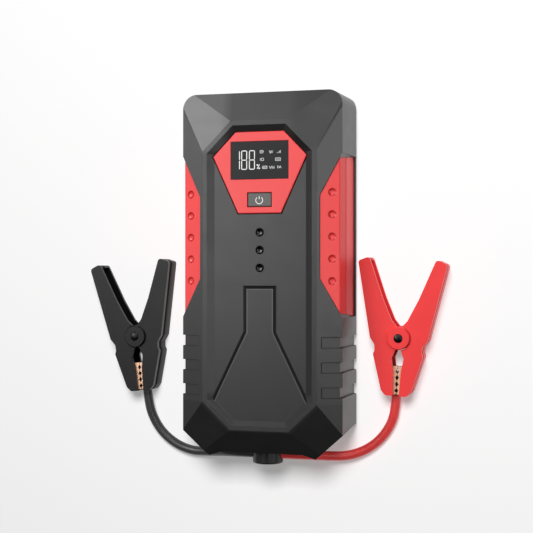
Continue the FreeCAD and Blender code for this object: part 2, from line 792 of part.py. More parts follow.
def add_indicator_lens(number):
    """Short rod with a dished front face, flush with the panel."""
    along = f"lens_first - {number - 1} * lens_pitch"
    face = "case_height - panel_depth"
    ball_radius = "((lens_radius * 0.9)^2 + lens_dish^2) / (2 * lens_dish)"
    rod = add_cylinder(f"lens_rod_{number}", "0", along, f"{face} - panel_backing",
                       "lens_radius", "panel_backing")
    ball = add_ball(f"lens_dish_{number}", "0", along, f"{face} + {ball_radius} - lens_dish",
                    ball_radius)
    add_cut(f"indicator_lens_{number}", rod, ball)


for number in range(1, len(lens_places()) + 1):
    add_indicator_lens(number)


def indicator_lights():
    low = size("board_height") + size("board_thickness")
    lights = [block(-0.8, 0.8, y - 1.6, y + 1.6, low, low + 0.9) for y in lens_places()]
    return Part.makeCompound(lights)


add_feature("indicator_lights", indicator_lights())


# ---------------------------------------------------------------- main board and what it carries

add_plate("main_board", "0", "(case_half_length - board_end_gap + board_start) / 2",
          "board_width", "case_half_length - board_end_gap - board_start",
          "board_height", "board_thickness")


def power_transistors():
    top = size("board_height")
    wide, deep, thick, pitch = 9.0, 10.0, 2.2, 12.0
    row = []
    for i in range(4):
        x = (i - 1.5) * pitch
        row.append(block(x - wide / 2, x + wide / 2, 62.0, 62.0 + deep, top - thick, top))
    return Part.makeCompound(row)


def boost_inductor():
    top, side, tall = size("board_height"), 12.0, 6.0
    can = block(-24.0, -24.0 + side, 45.0, 45.0 + side, top - tall, top)
    upright = [e for e in can.Edges if abs(e.BoundBox.ZLength - tall) < 0.01]
    return can.makeFillet(2.0, upright)


def filter_capacitors():
    top, radius, tall = size("board_height"), 4.0, 8.0
    cans = [cylinder(radius, Vector(x, 51.0, top), UP * -1, tall) for x in (10.0, 20.0)]
    return Part.makeCompound(cans)


add_feature("power_transistors", power_transistors())
add_feature("boost_inductor", boost_inductor())
add_feature("filter_capacitors", filter_capacitors())


def usb_port(offset, width, depth, height, tongue):
    """Sheet-metal sleeve under the board, with a moulded tongue across its mouth."""
    top, mouth, sheet = size("board_height"), end - size("port_sink"), size("port_shell")
    low_x, high_x = offset - width / 2, offset + width / 2
    sleeve = block(low_x, high_x, mouth - depth, mouth, top - height, top)
    room = block(low_x + sheet, high_x - sheet, mouth - depth + 2 * sheet, mouth + 1,
                 top - height + sheet, top - sheet)
    middle = top - height / 2
    blade = block(low_x + 1.2, high_x - 1.2, mouth - depth + sheet, mouth - 1.0,
                  middle - tongue / 2, middle + tongue / 2)
    return sleeve.cut(room).fuse(blade)


add_feature("usb_a_port", usb_port(
    size("port_offset"), size("port_width"), size("port_depth"), size("port_height"), 1.6))
add_feature("usb_c_port", usb_port(
    size("small_port_offset"), size("small_port_width"), size("small_port_depth"),
    size("small_port_height"), 0.7))


def torch_lens():
    start = Vector(size("torch_offset"), end - 2.0, size("torch_height"))
    return cylinder(size("torch_radius"), start, ALONG, 1.6)


def torch_reflector():
    back = Vector(size("torch_offset"), end - 2.0 - size("torch_depth"), size("torch_height"))
    mouth, throat, wall = size("torch_radius"), 2.0, 0.8
    outer = Part.makeCone(throat + wall, mouth, size("torch_depth"), back, ALONG)
    inner = Part.makeCone(throat, mouth - wall, size("torch_depth"), back, ALONG)
    return outer.cut(inner)


def torch_led():
    x, z = size("torch_offset"), size("torch_height")
    back = end - 2.0 - size("torch_depth")
    return block(x - 4.0, x + 4.0, back - 1.2, back, z - 4.0, z + 4.0)


add_feature("torch_lens", torch_lens())
add_feature("torch_reflector", torch_reflector())
add_feature("torch_led", torch_led())


# ---------------------------------------------------------------- cells and copper bars



def battery_cell(low):
    wide, long, start = size("cell_width") / 2, size("cell_length"), size("cell_start")
    cell = block(-wide, wide, start, start + long, low, low + size("cell_thickness"))
    edges = [e for e in cell.Edges if e.BoundBox.YLength > long - 0.01]
    return cell.makeFillet(size("cell_edge"), edges)


def cell_tabs():
    """Two tabs on each cell, one each side of the middle."""
    tabs = []
    wide, thick = size("tab_width") / 2, size("tab_thickness") / 2
    start = size("cell_start")
    for i in range(int(size("cell_count"))):
        middle = cell_low + i * cell_step + size("cell_thickness") / 2
        for side in (-1, 1):
            x = side * size("tab_offset")
            tabs.append(block(x - wide, x + wide, start - size("tab_length"), start,
                              middle - thick, middle + thick))
    return Part.makeCompound(tabs)


def copper_bar(side, cell):
    """Angled bar from a cell tab to the tail of a socket pin."""
    tab_end = size("cell_start") - size("tab_length")
    thick = size("bar_thickness")
    tab = cell_low + cell * cell_step + size("cell_thickness") / 2
    axis = size("plug_height")
    low, high = min(tab, axis) - 2.0, max(tab, axis) + 2.0
    pin_x = side * size("pin_offset")
    far_x = side * (size("tab_offset") + size("bar_width") / 2)
    near_x = side * (size("tab_offset") - size("bar_width") / 2)
    upright = block(min(near_x, far_x), max(near_x, far_x), tab_end - thick, tab_end, low, high)
    inner_x = pin_x - side * size("pin_radius")
    foot = block(min(inner_x, far_x), max(inner_x, far_x), tab_end - thick, tab_end,
                 axis - 2.0, axis + 2.0)
    return upright.fuse(foot).removeSplitter()


add_plate("foam_pad", "0", "cell_start + cell_length / 2", "cell_width", "cell_length",
          "case_wall + cell_gap", "foam_thickness")
for i in range(int(size("cell_count"))):
    add_feature(f"battery_cell_{i + 1}", battery_cell(cell_low + i * cell_step))
add_feature("cell_tabs", cell_tabs())
add_feature("copper_bar_positive", copper_bar(1, int(size("cell_count")) - 1))
add_feature("copper_bar_negative", copper_bar(-1, 0))


# ---------------------------------------------------------------- jump socket and lead plug

seat = size("plug_seat_depth") - end
axis_height = size("plug_height")
pin_places = [side * size("pin_offset") for side in (-1, 1)]
bar_face = size("cell_start") - size("tab_length") - size("bar_thickness")


def nose_block(margin, start, stop):
    wide, tall = size("nose_width") / 2 + margin, size("nose_height") / 2 + margin
    return block(-wide, wide, start, stop, axis_height - tall, axis_height + tall)


def jump_socket():
    wide, tall = size("socket_width") / 2, size("socket_height") / 2
    back = seat + size("socket_depth")
    socket = block(-wide, wide, seat, back, axis_height - tall, axis_height + tall)
    room = seat + size("nose_length") + size("plug_gap")
    socket = socket.cut(nose_block(size("nose_gap"), seat - 1, room))
    for x in pin_places:
        socket = socket.cut(cylinder(size("pin_radius"), Vector(x, room, axis_height), ALONG, FAR))
    return socket


def socket_pins():
    room = seat + size("nose_length") + size("plug_gap")
    start = room - size("pin_reach")
    pins = [
        cylinder(size("pin_radius"), Vector(x, start, axis_height), ALONG, bar_face - start)
        for x in pin_places
    ]
    return Part.makeCompound(pins)


def lead_plug():
    """Round moulded plug: nose in the socket, a lead out of each side."""
    outer = -end - size("plug_stand")
    body = cylinder(size("plug_radius"), Vector(0, outer, axis_height), ALONG, seat - outer)
    rim = [e for e in body.Edges if e.BoundBox.YMax < outer + 0.01]
    body = body.makeFillet(size("plug_edge"), rim)
    body = body.fuse(nose_block(0, seat, seat + size("nose_length")))
    for x in pin_places:
        start = Vector(x, seat + size("nose_length") - size("sleeve_length"), axis_height)
        body = body.cut(cylinder(size("sleeve_radius"), start, ALONG, FAR))
    for side in (-1, 1):
        start = Vector(side * size("cord_seat"), outer + size("cord_outlet_inset"), axis_height)
        body = body.cut(cylinder(size("cord_diameter") / 2, start, ACROSS * side, FAR))
    return body.removeSplitter()


def plug_contacts():
    sleeves = []
    front = seat + size("nose_length")
    for x in pin_places:
        start = Vector(x, front - size("sleeve_length"), axis_height)
        sleeve = cylinder(size("sleeve_radius"), start, ALONG, size("sleeve_length"))
        bore = cylinder(size("pin_radius") + size("pin_gap"), start + ALONG * 0.6, ALONG, FAR)
        sleeves.append(sleeve.cut(bore))
    return Part.makeCompound(sleeves)


add_feature("jump_socket", jump_socket())
add_feature("socket_pins", socket_pins())
add_feature("lead_plug", lead_plug())
add_feature("plug_contacts", plug_contacts())


# ---------------------------------------------------------------- clamps
# Each clamp is drawn round its pivot, handles towards +Y and the fixed arm on +X.

clamp_top = size("clamp_height")
cheek = size("cheek")
gap = size("ear_gap")
ear_low = cheek + gap
ear_high = ear_low + size("ear")


def arm_outline():
    """Clockwise outline of the +X arm, from the inner end of its handle."""
    reach, spread, tip = size("handle_reach"), size("handle_spread"), size("jaw_reach")
    return [
        (spread - 5.7, reach), (spread, reach - 2.4),
        (15.0, -0.5), (12.5, -4.0), (12.3, -7.0), (13.0, -9.0),
        (7.8, 2.5 - tip), (5.5, -tip), (1.7, -tip), (2.1, -17.5),
        (3.2, -10.5), (1.6, -6.4), (0.15, -5.0), (0.15, 5.0), (1.5, 6.1), (4.2, 9.2), (9.5, 20.5),
    ]


def arm_block():
    """Full-height arm with rounded ends."""
    solid = prism(arm_outline(), 0, clamp_top)
    reach, tip = size("handle_reach"), size("jaw_reach")
    upright = [
        e for e in solid.Edges
        if abs(e.BoundBox.ZLength - clamp_top) < 0.01
        and (e.BoundBox.YMin > reach - 3.0 or (e.BoundBox.YMax < 3.0 - tip and e.BoundBox.XMin > 3.0))
    ]
    return solid.makeFillet(1.6, upright)


def arm_channel():
    """Room between the cheeks, open on the inner side of the arm."""
    spine, open_side = size("spine"), -3.0
    simple = [p for p in arm_outline() if p not in ((2.1, -17.5), (3.2, -10.5), (1.6, -6.4), (4.2, 9.2))]
    walls = [spine] * 7 + [size("tip_wall")] + [open_side] * (len(simple) - 8)
    return prism(moved_in(simple, walls), cheek, clamp_top - cheek)


def layers(low, high):
    """Slabs at the same distance from both faces of the clamp."""
    lower = block(-FAR, FAR, -FAR, FAR, low, high)
    upper = block(-FAR, FAR, -FAR, FAR, clamp_top - high, clamp_top - low)
    return lower.fuse(upper)


def pivot_cylinder(radius, low, high):
    return cylinder(radius, Vector(0, 0, low), UP, high - low)


def ferrule_axis():
    return Vector(size("ferrule_offset"), 0, size("ferrule_height"))


def cord_end_along():
    return 1.4 - size("jaw_reach")


def fixed_arm():
    arm = arm_block()
    cheeks = arm.fuse(pivot_cylinder(size("disc_radius"), 0, clamp_top)).common(layers(0, cheek))
    arm = arm.cut(arm_channel()).fuse(cheeks)
    room = pivot_cylinder(size("disc_radius") + gap, cheek, clamp_top - cheek)
    arm = arm.cut(room)
    disc = pivot_cylinder(size("disc_radius") - 0.1, clamp_top - cheek, clamp_top + size("disc_rise"))
    rim = [e for e in disc.Edges if e.BoundBox.ZMin > clamp_top + size("disc_rise") - 0.01]
    arm = arm.fuse(disc.makeChamfer(0.4, rim))
    arm = arm.cut(pivot_cylinder(size("rivet_radius"), -1, FAR))
    arm = arm.cut(pivot_cylinder(size("rivet_head_radius") + 0.7, -1, 0.9))
    start = Vector(size("ferrule_offset"), -size("jaw_reach") - 1, size("ferrule_height"))
    arm = arm.cut(cylinder(size("cord_diameter") / 2, start, ALONG, 4.0))
    return arm.removeSplitter()


def moving_arm():
    """The other arm, with ears that turn between the cheeks of the fixed one."""
    arm = arm_block()
    arm = arm.cut(arm_channel())
    arm = arm.cut(pivot_cylinder(size("disc_radius") + gap, -1, FAR))
    ears = pivot_cylinder(size("disc_radius"), 0, clamp_top).fuse(
        block(0, 11.0, -4.0, 3.0, 0, clamp_top)).common(layers(ear_low, ear_high))
    webs = block(7.0, 11.0, -4.0, 3.0, 0, clamp_top).common(layers(0, ear_high))
    arm = arm.fuse(ears).fuse(webs)
    arm = arm.cut(pivot_cylinder(size("rivet_radius") + size("rivet_gap"), -1, FAR))
    arm = arm.mirror(Vector(0, 0, 0), ACROSS)
    start = Vector(size("ferrule_offset"), -size("jaw_reach") - 1, size("ferrule_height"))
    arm = arm.cut(cylinder(size("cord_diameter") / 2 + gap, start, ALONG, 14.0))
    return arm.removeSplitter()


def jaw_sheet_low():
    return size("ferrule_height") + size("cord_diameter") / 2 + gap


def toothed_jaw():
    """Folded copper jaw of the +X arm: two toothed flanges and a back."""
    sheet = size("jaw_sheet")
    low, high = jaw_sheet_low(), clamp_top - cheek
    tip = size("jaw_reach") - size("tip_wall")
    root = 14.6
    outer_tip, outer_root = 3.1, 5.4
    outline = [(0.1, -root), (outer_root, -root), (outer_tip, -tip), (0.1, -tip)]
    jaw = prism(outline, low, high)
    hollow = [(-1.0, -root + 1), (outer_root - sheet, -root + 1),
              (outer_tip - sheet, -tip - 1), (-1.0, -tip - 1)]
    jaw = jaw.cut(prism(hollow, low + sheet, high - sheet))
    depth, pitch = size("tooth_depth"), size("tooth_pitch")
    for i in range(4):
        y = -root - pitch * (i + 0.75)
        half = pitch * 0.42
        notch = [(-1.0, y + half), (0.1, y + half), (0.1 + depth, y), (0.1, y - half), (-1.0, y - half)]
        jaw = jaw.cut(prism(notch, low - 1, high + 1))
    return jaw


def fixed_jaw():
    return toothed_jaw()


def moving_jaw():
    return toothed_jaw().mirror(Vector(0, 0, 0), ACROSS)


def lead_ferrule():
    """Crimped tube on the conductor, with a tab up to the fixed jaw."""
    length = size("ferrule_length")
    start = ferrule_axis() + ALONG * cord_end_along()
    tube = cylinder(size("cord_diameter") / 2, start, ALONG, length)
    low = size("ferrule_height")
    tab = block(0.5, 2.5, cord_end_along() + length - 3.0, cord_end_along() + length,
                low, jaw_sheet_low())
    return tube.fuse(tab).removeSplitter()


def clamp_rivet():
    top = clamp_top + size("disc_rise")
    shank = pivot_cylinder(size("rivet_radius"), 0, top)
    head = pivot_cylinder(size("rivet_head_radius"), top, top + size("rivet_head_height"))
    rim = [e for e in head.Edges if e.BoundBox.ZMin > top + size("rivet_head_height") - 0.01]
    head = head.makeFillet(size("rivet_head_height") * 0.8, rim)
    foot = pivot_cylinder(size("rivet_head_radius") + 0.7, 0.1, 0.9)
    return shank.fuse([head, foot]).removeSplitter()


def clamp_spring():
    """Torsion spring round the rivet, with a short leg into each handle."""
    wire, radius, pitch = size("spring_wire") / 2, size("spring_radius"), size("spring_pitch")
    low, high = ear_high + gap + wire, clamp_top - ear_high - gap - wire
    lean = 20.0
    part_turn = (180.0 - 2 * lean) / 360.0
    turns = math.floor((high - low) / pitch - part_turn) + part_turn
    helix = Part.makeHelix(pitch, turns * pitch, radius)
    ring = Part.Wire(Part.makeCircle(wire, Vector(radius, 0, 0), ALONG))
    coil = Part.Wire(helix).makePipeShell([ring], True, True)
    coil.rotate(Vector(0, 0, 0), UP, 180.0 + lean)
    coil.translate(UP * low)
    leg = math.sqrt(size("spring_reach") ** 2 - radius ** 2)
    lower = cylinder(wire, Vector(-radius, 0, low), ALONG, leg)
    lower.rotate(Vector(0, 0, 0), UP, lean)
    upper = cylinder(wire, Vector(radius, 0, low + turns * pitch), ALONG, leg)
    upper.rotate(Vector(0, 0, 0), UP, -lean)
    return coil.fuse([lower, upper]).removeSplitter()


def place_clamp(colour, side, across, along, turn):
    """Side is 1 where the fixed arm is on +X, and -1 for the opposite hand."""
    place = Placement(Vector(across, along, 0), Rotation(UP, turn))
    pieces = [
        ("fixed_arm", fixed_arm()), ("moving_arm", moving_arm()),
        ("fixed_jaw", fixed_jaw()), ("moving_jaw", moving_jaw()),
        ("ferrule", lead_ferrule()), ("rivet", clamp_rivet()), ("spring", clamp_spring()),
    ]
    for name, shape in pieces:
        if side < 0:
            shape = shape.mirror(Vector(0, 0, 0), ACROSS)
        add_feature(f"{colour}_{name}", shape, place)


place_clamp("black", 1, size("black_clamp_across"), size("black_clamp_along"), size("black_clamp_turn"))
place_clamp("red", -1, size("red_clamp_across"), size("red_clamp_along"), size("red_clamp_turn"))


# ---------------------------------------------------------------- leads
# Each route runs from inside the plug, down to the floor and round to its clamp.

BLACK_ROUTE = [
    (-3.0, -94.4, 17.5), (-12.5, -94.4, 17.5), (-22.0, -94.9, 14.2), (-30.8, -95.9, 8.8),
    (-39.0, -96.7, 5.2), (-47.6, -97.0, 3.2), (-56.9, -94.0, 2.5), (-64.9, -88.2, 2.5),
    (-70.4, -80.3, 2.9), (-72.88, -71.53, 4.3), (-73.76, -62.37, 4.3),
]
RED_ROUTE = [
    (3.0, -94.4, 17.5), (12.5, -94.4, 17.5), (21.8, -94.9, 14.4), (30.6, -95.7, 9.2),
    (39.9, -96.0, 5.2), (49.3, -93.0, 3.1), (57.2, -87.2, 2.5), (63.0, -79.2, 2.9),
    (65.81, -70.7, 4.3), (66.30, -61.31, 4.3),
]


def cord(label, route):
    """Tube along straight runs joined by tangent arcs as large as the runs allow."""
    points = [Vector(*p) for p in route]
    edges = []
    radii = []
    last = points[0]
    for before, here, after in zip(points, points[1:], points[2:]):
        to_here, onward = here - before, after - here
        reach = 0.45 * min(to_here.Length, onward.Length)
        turn = to_here.getAngle(onward)
        radius = reach / math.tan(turn / 2)
        to_here.normalize()
        onward.normalize()
        start, stop = here - to_here * reach, here + onward * reach
        inward = (onward - to_here).normalize()
        middle = here + inward * (radius / math.cos(turn / 2) - radius)
        edges.append(Part.LineSegment(last, start).toShape())
        edges.append(Part.Arc(start, middle, stop).toShape())
        radii.append(round(radius, 1))
        last = stop
    edges.append(Part.LineSegment(last, points[-1]).toShape())
    path = Part.Wire(edges)
    first = (points[1] - points[0]).normalize()
    radius = size("cord_diameter") / 2
    ring = Part.Wire(Part.makeCircle(radius, points[0], first))
    tube = path.makePipeShell([ring], True, False)
    wanted = math.pi * radius ** 2 * path.Length
    print(f"{label}: length {path.Length:.1f}, radii {radii}, volume {tube.Volume / wanted:.4f} of wanted")
    add_feature(label, tube)


cord("black_cord", BLACK_ROUTE)
cord("red_cord", RED_ROUTE)


# ---------------------------------------------------------------- checks and export

doc.recompute()
for thing in doc.Objects:
    if "Invalid" in thing.State or "Error" in thing.State:
        raise RuntimeError(f"{thing.Label} failed to recompute: {thing.State}")
for node in nodes:
    if node.Shape.isNull() or not node.Shape.isValid() or node.Shape.Volume <= 0:
        raise RuntimeError(f"{node.Label} has no valid shape")

os.makedirs("parts", exist_ok=True)
for node in nodes:
    node.Shape.exportStep(f"parts/{node.Label}.step")
print(f"{len(nodes)} sub-parts written")
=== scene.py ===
import json
import math

import bmesh
import bpy
from mathutils import Matrix, Vector


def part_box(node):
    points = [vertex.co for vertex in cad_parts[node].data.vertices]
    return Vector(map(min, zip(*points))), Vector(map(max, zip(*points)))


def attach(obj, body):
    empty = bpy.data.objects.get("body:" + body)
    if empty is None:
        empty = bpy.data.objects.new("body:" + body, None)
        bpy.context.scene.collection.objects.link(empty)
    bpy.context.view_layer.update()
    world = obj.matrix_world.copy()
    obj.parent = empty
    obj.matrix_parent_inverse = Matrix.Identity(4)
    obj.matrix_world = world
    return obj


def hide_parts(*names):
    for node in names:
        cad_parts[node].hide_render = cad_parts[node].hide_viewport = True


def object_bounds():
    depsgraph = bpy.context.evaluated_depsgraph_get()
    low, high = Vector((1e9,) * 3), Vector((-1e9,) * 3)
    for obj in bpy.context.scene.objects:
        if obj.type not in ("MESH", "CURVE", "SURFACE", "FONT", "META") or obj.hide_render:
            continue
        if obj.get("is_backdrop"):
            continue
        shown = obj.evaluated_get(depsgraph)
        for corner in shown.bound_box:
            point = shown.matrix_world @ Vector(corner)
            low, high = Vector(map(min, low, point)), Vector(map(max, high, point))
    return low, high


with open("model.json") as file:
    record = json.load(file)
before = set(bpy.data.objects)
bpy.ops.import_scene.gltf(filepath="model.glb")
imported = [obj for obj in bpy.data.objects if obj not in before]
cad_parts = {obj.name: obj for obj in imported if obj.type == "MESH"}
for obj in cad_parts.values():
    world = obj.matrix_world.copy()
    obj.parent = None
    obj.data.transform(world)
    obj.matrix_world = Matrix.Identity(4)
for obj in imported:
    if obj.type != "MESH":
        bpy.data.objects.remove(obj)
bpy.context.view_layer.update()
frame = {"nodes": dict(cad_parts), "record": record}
nodes = frame["nodes"]
print("frame loaded,", len(nodes), "parts")
mm = 0.001

# ---- camera

camera = {
    "place": (0.17778, 0.00279, 0.63211),
    "target": (0.00422, 0.00438, 0.035),
    "lens": 81.62,
}


def aim(obj, place, target, upward):
    back = (Vector(place) - Vector(target)).normalized()
    right = Vector(upward).cross(back).normalized()
    turned = Matrix((right, back.cross(right), back)).transposed()
    obj.matrix_world = Matrix.Translation(place) @ turned.to_4x4()


lens = bpy.data.cameras.new("camera")
lens.lens = camera["lens"]
viewer = bpy.data.objects.new("camera", lens)
bpy.context.scene.collection.objects.link(viewer)
aim(viewer, camera["place"], camera["target"], (0, 1, 0))
bpy.context.scene.camera = viewer

# ---- helpers for pieces


def link(obj):
    bpy.context.scene.collection.objects.link(obj)
    return obj


def place(piece, body, slot, *stoodFor):
    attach(piece, body)
    if stoodFor:
        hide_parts(*stoodFor)
    return piece


def lathe(profile, middle, steps=40):
    # turns (radius, height) points in mm round an upright axis
    form = bmesh.new()
    rings = []
    for far, z in profile:
        ring = []
        for i in range(steps if far else 1):
            turn = 2 * math.pi * i / steps
            ring.append(form.verts.new((middle[0] + far * mm * math.cos(turn),
                                        middle[1] + far * mm * math.sin(turn), z * mm)))
        rings.append(ring)
    for low, high in zip(rings, rings[1:]):
        for i in range(steps):
            j = (i + 1) % steps
            corners = [low[i % len(low)], low[j % len(low)],
                       high[j % len(high)], high[i % len(high)]]
            face = form.faces.new(dict.fromkeys(corners))  # a pole has one corner less
            face.smooth = True
    bmesh.ops.recalc_face_normals(form, faces=form.faces)
    mesh = bpy.data.meshes.new("turned")
    form.to_mesh(mesh)
    form.free()
    return mesh


# ---- shader maths


class Wire:  # one output socket of a material, with arithmetic
    def __init__(self, tree, socket=None):
        self.tree = tree
        self.socket = socket

    def node(self, kind, settings=(), sockets=(), out=0):
        made = self.tree.nodes.new(kind if "Node" in kind else "ShaderNode" + kind)
        for key, value in dict(settings).items():
            if key == "stops":
                ramp = made.color_ramp.elements
                while len(ramp) < len(value):
                    ramp.new(0.5)
                for stop, (at, shade) in zip(ramp, value):
                    stop.position = at
                    stop.color = shade
            else:
                setattr(made, key, value)
        for key, value in dict(sockets).items():
            self.fill(made.inputs[key], value)
        return Wire(self.tree, None if out is None else made.outputs[out])

    def fill(self, socket, value):
        if isinstance(value, Wire):
            self.tree.links.new(value.socket, socket)
        else:
            socket.default_value = value

    def maths(self, operation, *values):
        return self.node("Math", {"operation": operation}, dict(enumerate(values)))

    def __add__(self, other):
        return self.maths("ADD", self, other)

    __radd__ = __add__

    def __sub__(self, other):
        return self.maths("SUBTRACT", self, other)

    def __rsub__(self, other):
        return self.maths("SUBTRACT", other, self)

    def __mul__(self, other):
        return self.maths("MULTIPLY", self, other)

    __rmul__ = __mul__

    def __abs__(self):
        return self.maths("ABSOLUTE", self)

    def least(self, other):
        return self.maths("MINIMUM", self, other)

    def most(self, other):
        return self.maths("MAXIMUM", self, other)

    def root(self):
        return self.maths("SQRT", self)

    def wrapped(self, low, high):  # starts again at low wherever it reaches high
        return self.maths("WRAP", self, high, low)

    def axes(self):  # x, y and z in mm
        parts = self.node("SeparateXYZ", {}, {0: self}).socket.node.outputs
        return [Wire(self.tree, part) * 1000 for part in parts]

    def between(self, low, high, soft):  # 1 from low to high
        return self.above(low, soft) * self.below(high, soft)

    def above(self, level, soft):  # 0 below the level, 1 above it
        return self.node("MapRange", {}, {0: self, 1: level - soft, 2: level + soft})

    def below(self, level, soft):  # 1 below the level, 0 above it
        return 1 - self.above(level, soft)

    def tint(self, low, high):  # one colour where this is 0, the other where it is 1
        return self.node("Mix", {"data_type": "RGBA"}, {0: self, 6: low, 7: high}, out=2)

    def paintedOver(self, mask, colour):  # this colour, with another one laid over it by a mask
        return mask.tint(self, colour)


def shade(hexColour):
    parts = [int(hexColour[i:i + 2], 16) / 255 for i in (0, 2, 4)]
    return tuple(c / 12.92 if c < 0.04045 else ((c + 0.055) / 1.055) ** 2.4 for c in parts) + (1,)


def scaled(colour, share):
    return tuple(min(1, c * share) for c in colour[:3]) + (1,)


# ---- finishes

finishes = {
    # name: colour, roughness, metal, colour change, grain size in mm, grain height in mm
    "shellBlack": ("262626", 0.36, 0, 0.10, 0.35, 0.012),
    "gripRed": ("f14a4a", 0.40, 0, 0.05, 0.30, 0.010),
    "bezelRed": ("ec4041", 0.40, 0, 0.04, 0.30, 0.006),
    "clampBlack": ("101010", 0.40, 0, 0.08, 0.40, 0.014),
    "clampRed": ("f43e3f", 0.38, 0, 0.05, 0.40, 0.012),
    "displayGlass": ("131214", 0.42, 0, 0.10, 0.20, 0.002),
    "displayBody": ("1b1b1d", 0.50, 0, 0.06, 0.50, 0.010),
    "markWhite": ("f2f2f0", 0.45, 0, 0.04, 0.20, 0.003),
    "buttonGrey": ("5c5c5a", 0.50, 0, 0.05, 0.25, 0.010),
    "lensBlack": ("0b0b0b", 0.10, 0, 0.04, 1.00, 0.001),
    "lightPale": ("f1eedd", 0.30, 0, 0.05, 0.50, 0.003),
    "boardGreen": ("1f5a34", 0.40, 0, 0.12, 0.80, 0.020),
    "chipDark": ("1c1c1d", 0.55, 0, 0.08, 0.40, 0.012),
    "canMetal": ("b9bbbd", 0.32, 1, 0.06, 0.50, 0.006),
    "portSteel": ("c3c5c8", 0.26, 1, 0.06, 0.40, 0.004),
    "torchClear": ("e6ebee", 0.06, 0, 0.02, 1.50, 0.001),
    "reflectorBright": ("e4e6e8", 0.08, 1, 0.03, 0.60, 0.006),
    "foamGrey": ("5f6062", 0.90, 0, 0.14, 0.60, 0.080),
    "foilSilver": ("aeb2b8", 0.30, 1, 0.10, 1.20, 0.030),
    "copperBright": ("f7c7a6", 0.34, 0.45, 0.10, 0.60, 0.008),
    # this finish serves the lights' dark rings and the painted shade skirt round the bezel
    "sealDark": ("040404", 0.85, 0, 0.20, 0.40, 0.010),
    "socketBlue": ("2457a6", 0.42, 0, 0.06, 0.35, 0.010),
    "contactGold": ("d9ad57", 0.22, 1, 0.06, 0.40, 0.004),
    "steelDark": ("2f2e2d", 0.34, 1, 0.08, 0.30, 0.006),
    "steelSpring": ("8f9194", 0.30, 1, 0.08, 0.30, 0.006),
    "plugBlack": ("161616", 0.36, 0, 0.08, 0.35, 0.014),
    "cableBlack": ("3c3c3c", 0.34, 0, 0.06, 0.60, 0.006),
    "cableRed": ("fb4a48", 0.34, 0, 0.05, 0.60, 0.006),
}
cloudScale, cloudDetail = 90, 3  # slow colour change, per metre
roughSpread = 0.1  # how far the roughness wanders with it
materials = {}


def basis(name):  # the colour, roughness and grain that every finish starts from
    colour, rough, metal, change, grainSize, grainHeight = finishes[name]
    made = bpy.data.materials.new(name)
    made.use_nodes = True
    tree = made.node_tree
    tree.nodes.clear()
    start = Wire(tree)
    spot = start.node("TexCoord", out=3)
    cloud = start.node("TexNoise", {}, {
        "Vector": spot, "Scale": cloudScale, "Detail": cloudDetail})
    grain = start.node("TexNoise", {}, {"Vector": spot, "Scale": 1000 / grainSize, "Detail": 2})
    base = shade(colour)
    look = {
        "colour": cloud.tint(scaled(base, 1 - change), scaled(base, 1 + change)),
        "rough": rough - roughSpread / 2 + roughSpread * cloud,
        "height": grain,
        "grainHeight": grainHeight / 1000,
        "metal": metal,
        "spot": spot,
        "start": start,
    }
    materials[name] = made
    return look


def complete(look):  # wires the finish to its shader
    start = look["start"]
    bump = start.node("Bump", {}, {
        "Strength": 1.0, "Distance": look["grainHeight"], "Height": look["height"]})
    skin = start.node("BsdfPrincipled", {}, {
        "Base Color": look["colour"], "Roughness": look["rough"],
        "Metallic": look["metal"], "Normal": bump, **look.get("more", {})})
    start.node("OutputMaterial", {}, {"Surface": skin}, out=None)


def plainFinish(name):
    look = basis(name)
    look["more"] = constants.get(name, {})
    complete(look)


shellLines = {
    "notchTop": -31.7, "notchLow": -63.0, "notchPitch": 12.8, "notchWidth": 5.5,
    "notchInner": 33.0, "notchLine": 0.16, "notchBack": 24.0,
    "neck": 9.0, "neckTop": -5.5, "neckBottom": -29.7, "flare": 0.491, "flareShrink": 0.898,
    "valley": (-1.65, -0.1), "edgeHighlight": (-2.15, -1.8),
    "panelDepth": (32.0, 33.6), "panelLength": (-66.0, -5.0),
    "wallDepth": (33.3, 34.9), "rightWall": (24.0, 28.5), "rightWallLength": (-62.0, 63.0),
    "cornerWallSide": -14.0, "cornerWallTop": -62.0,
    "rimLean": (0.692, 0.721), "innerRim": 66.4, "groovesRougher": 0.3,
}
shellFacets = {
    "front": 0.6, "side": 30.7, "sideTop": 64.4, "sideLean": 0.55, "flankFade": (10.0, 60.0),
    "cornerLow": 64.0, "cornerInner": 18.0, "lowerTop": -66.0, "lowerRim": 68.6,
    "lowerEnd": -80.7, "rimFront": 34.7, "wallSide": 42.0,
}
shellPaintedLight = {
    # place: share, colour; each colour is painted light or painted shade, lighter on facets the
    # light falls on and darker where shade falls
    "flanks": (0.45, "686868"), "leftCorner": (0.35, "6a6a6a"), "rightCorner": (0.7, "0c0c0c"),
    "lower": (0.55, "080808"), "walls": (0.6, "0a0a0a"),
    "shadedGrooves": (0.85, "060606"), "edgeHighlight": (0.5, "6e6e6e"),
}


def notchMask(x, y, z):  # lines round the notches in both lower sides, darkened with painted shade
    side, line, width = abs(x), shellLines["notchLine"], shellLines["notchWidth"]
    row = (shellLines["notchTop"] - y).wrapped(0.0, shellLines["notchPitch"])
    onRow = abs(row - width).least(abs(row - line))
    rowLines = onRow.below(line, 0.08) * side.above(shellLines["notchInner"], 0.1)
    endLine = abs(side - shellLines["notchInner"]).below(line, 0.08) * row.below(width, 0.1)
    here = y.between(shellLines["notchLow"], shellLines["notchTop"] + 0.2, 0.05) \
        * z.above(shellLines["notchBack"], 0.5)
    return rowLines.most(endLine) * here


def engravedMasks(x, y, z):  # the engraved outline's valley, darkened with painted shade, and the painted highlight line inside it
    flare = (shellLines["neckBottom"] - y).most(0.0)
    away = (abs(x) - shellLines["neck"] - shellLines["flare"] * flare) \
        * shellLines["flareShrink"]
    away = away.most(y - shellLines["neckTop"])
    onPanel = z.between(*shellLines["panelDepth"], 0.05) \
        * y.between(*shellLines["panelLength"], 0.1)
    return [away.between(*shellLines[band], 0.12) * onPanel for band in ("valley", "edgeHighlight")]


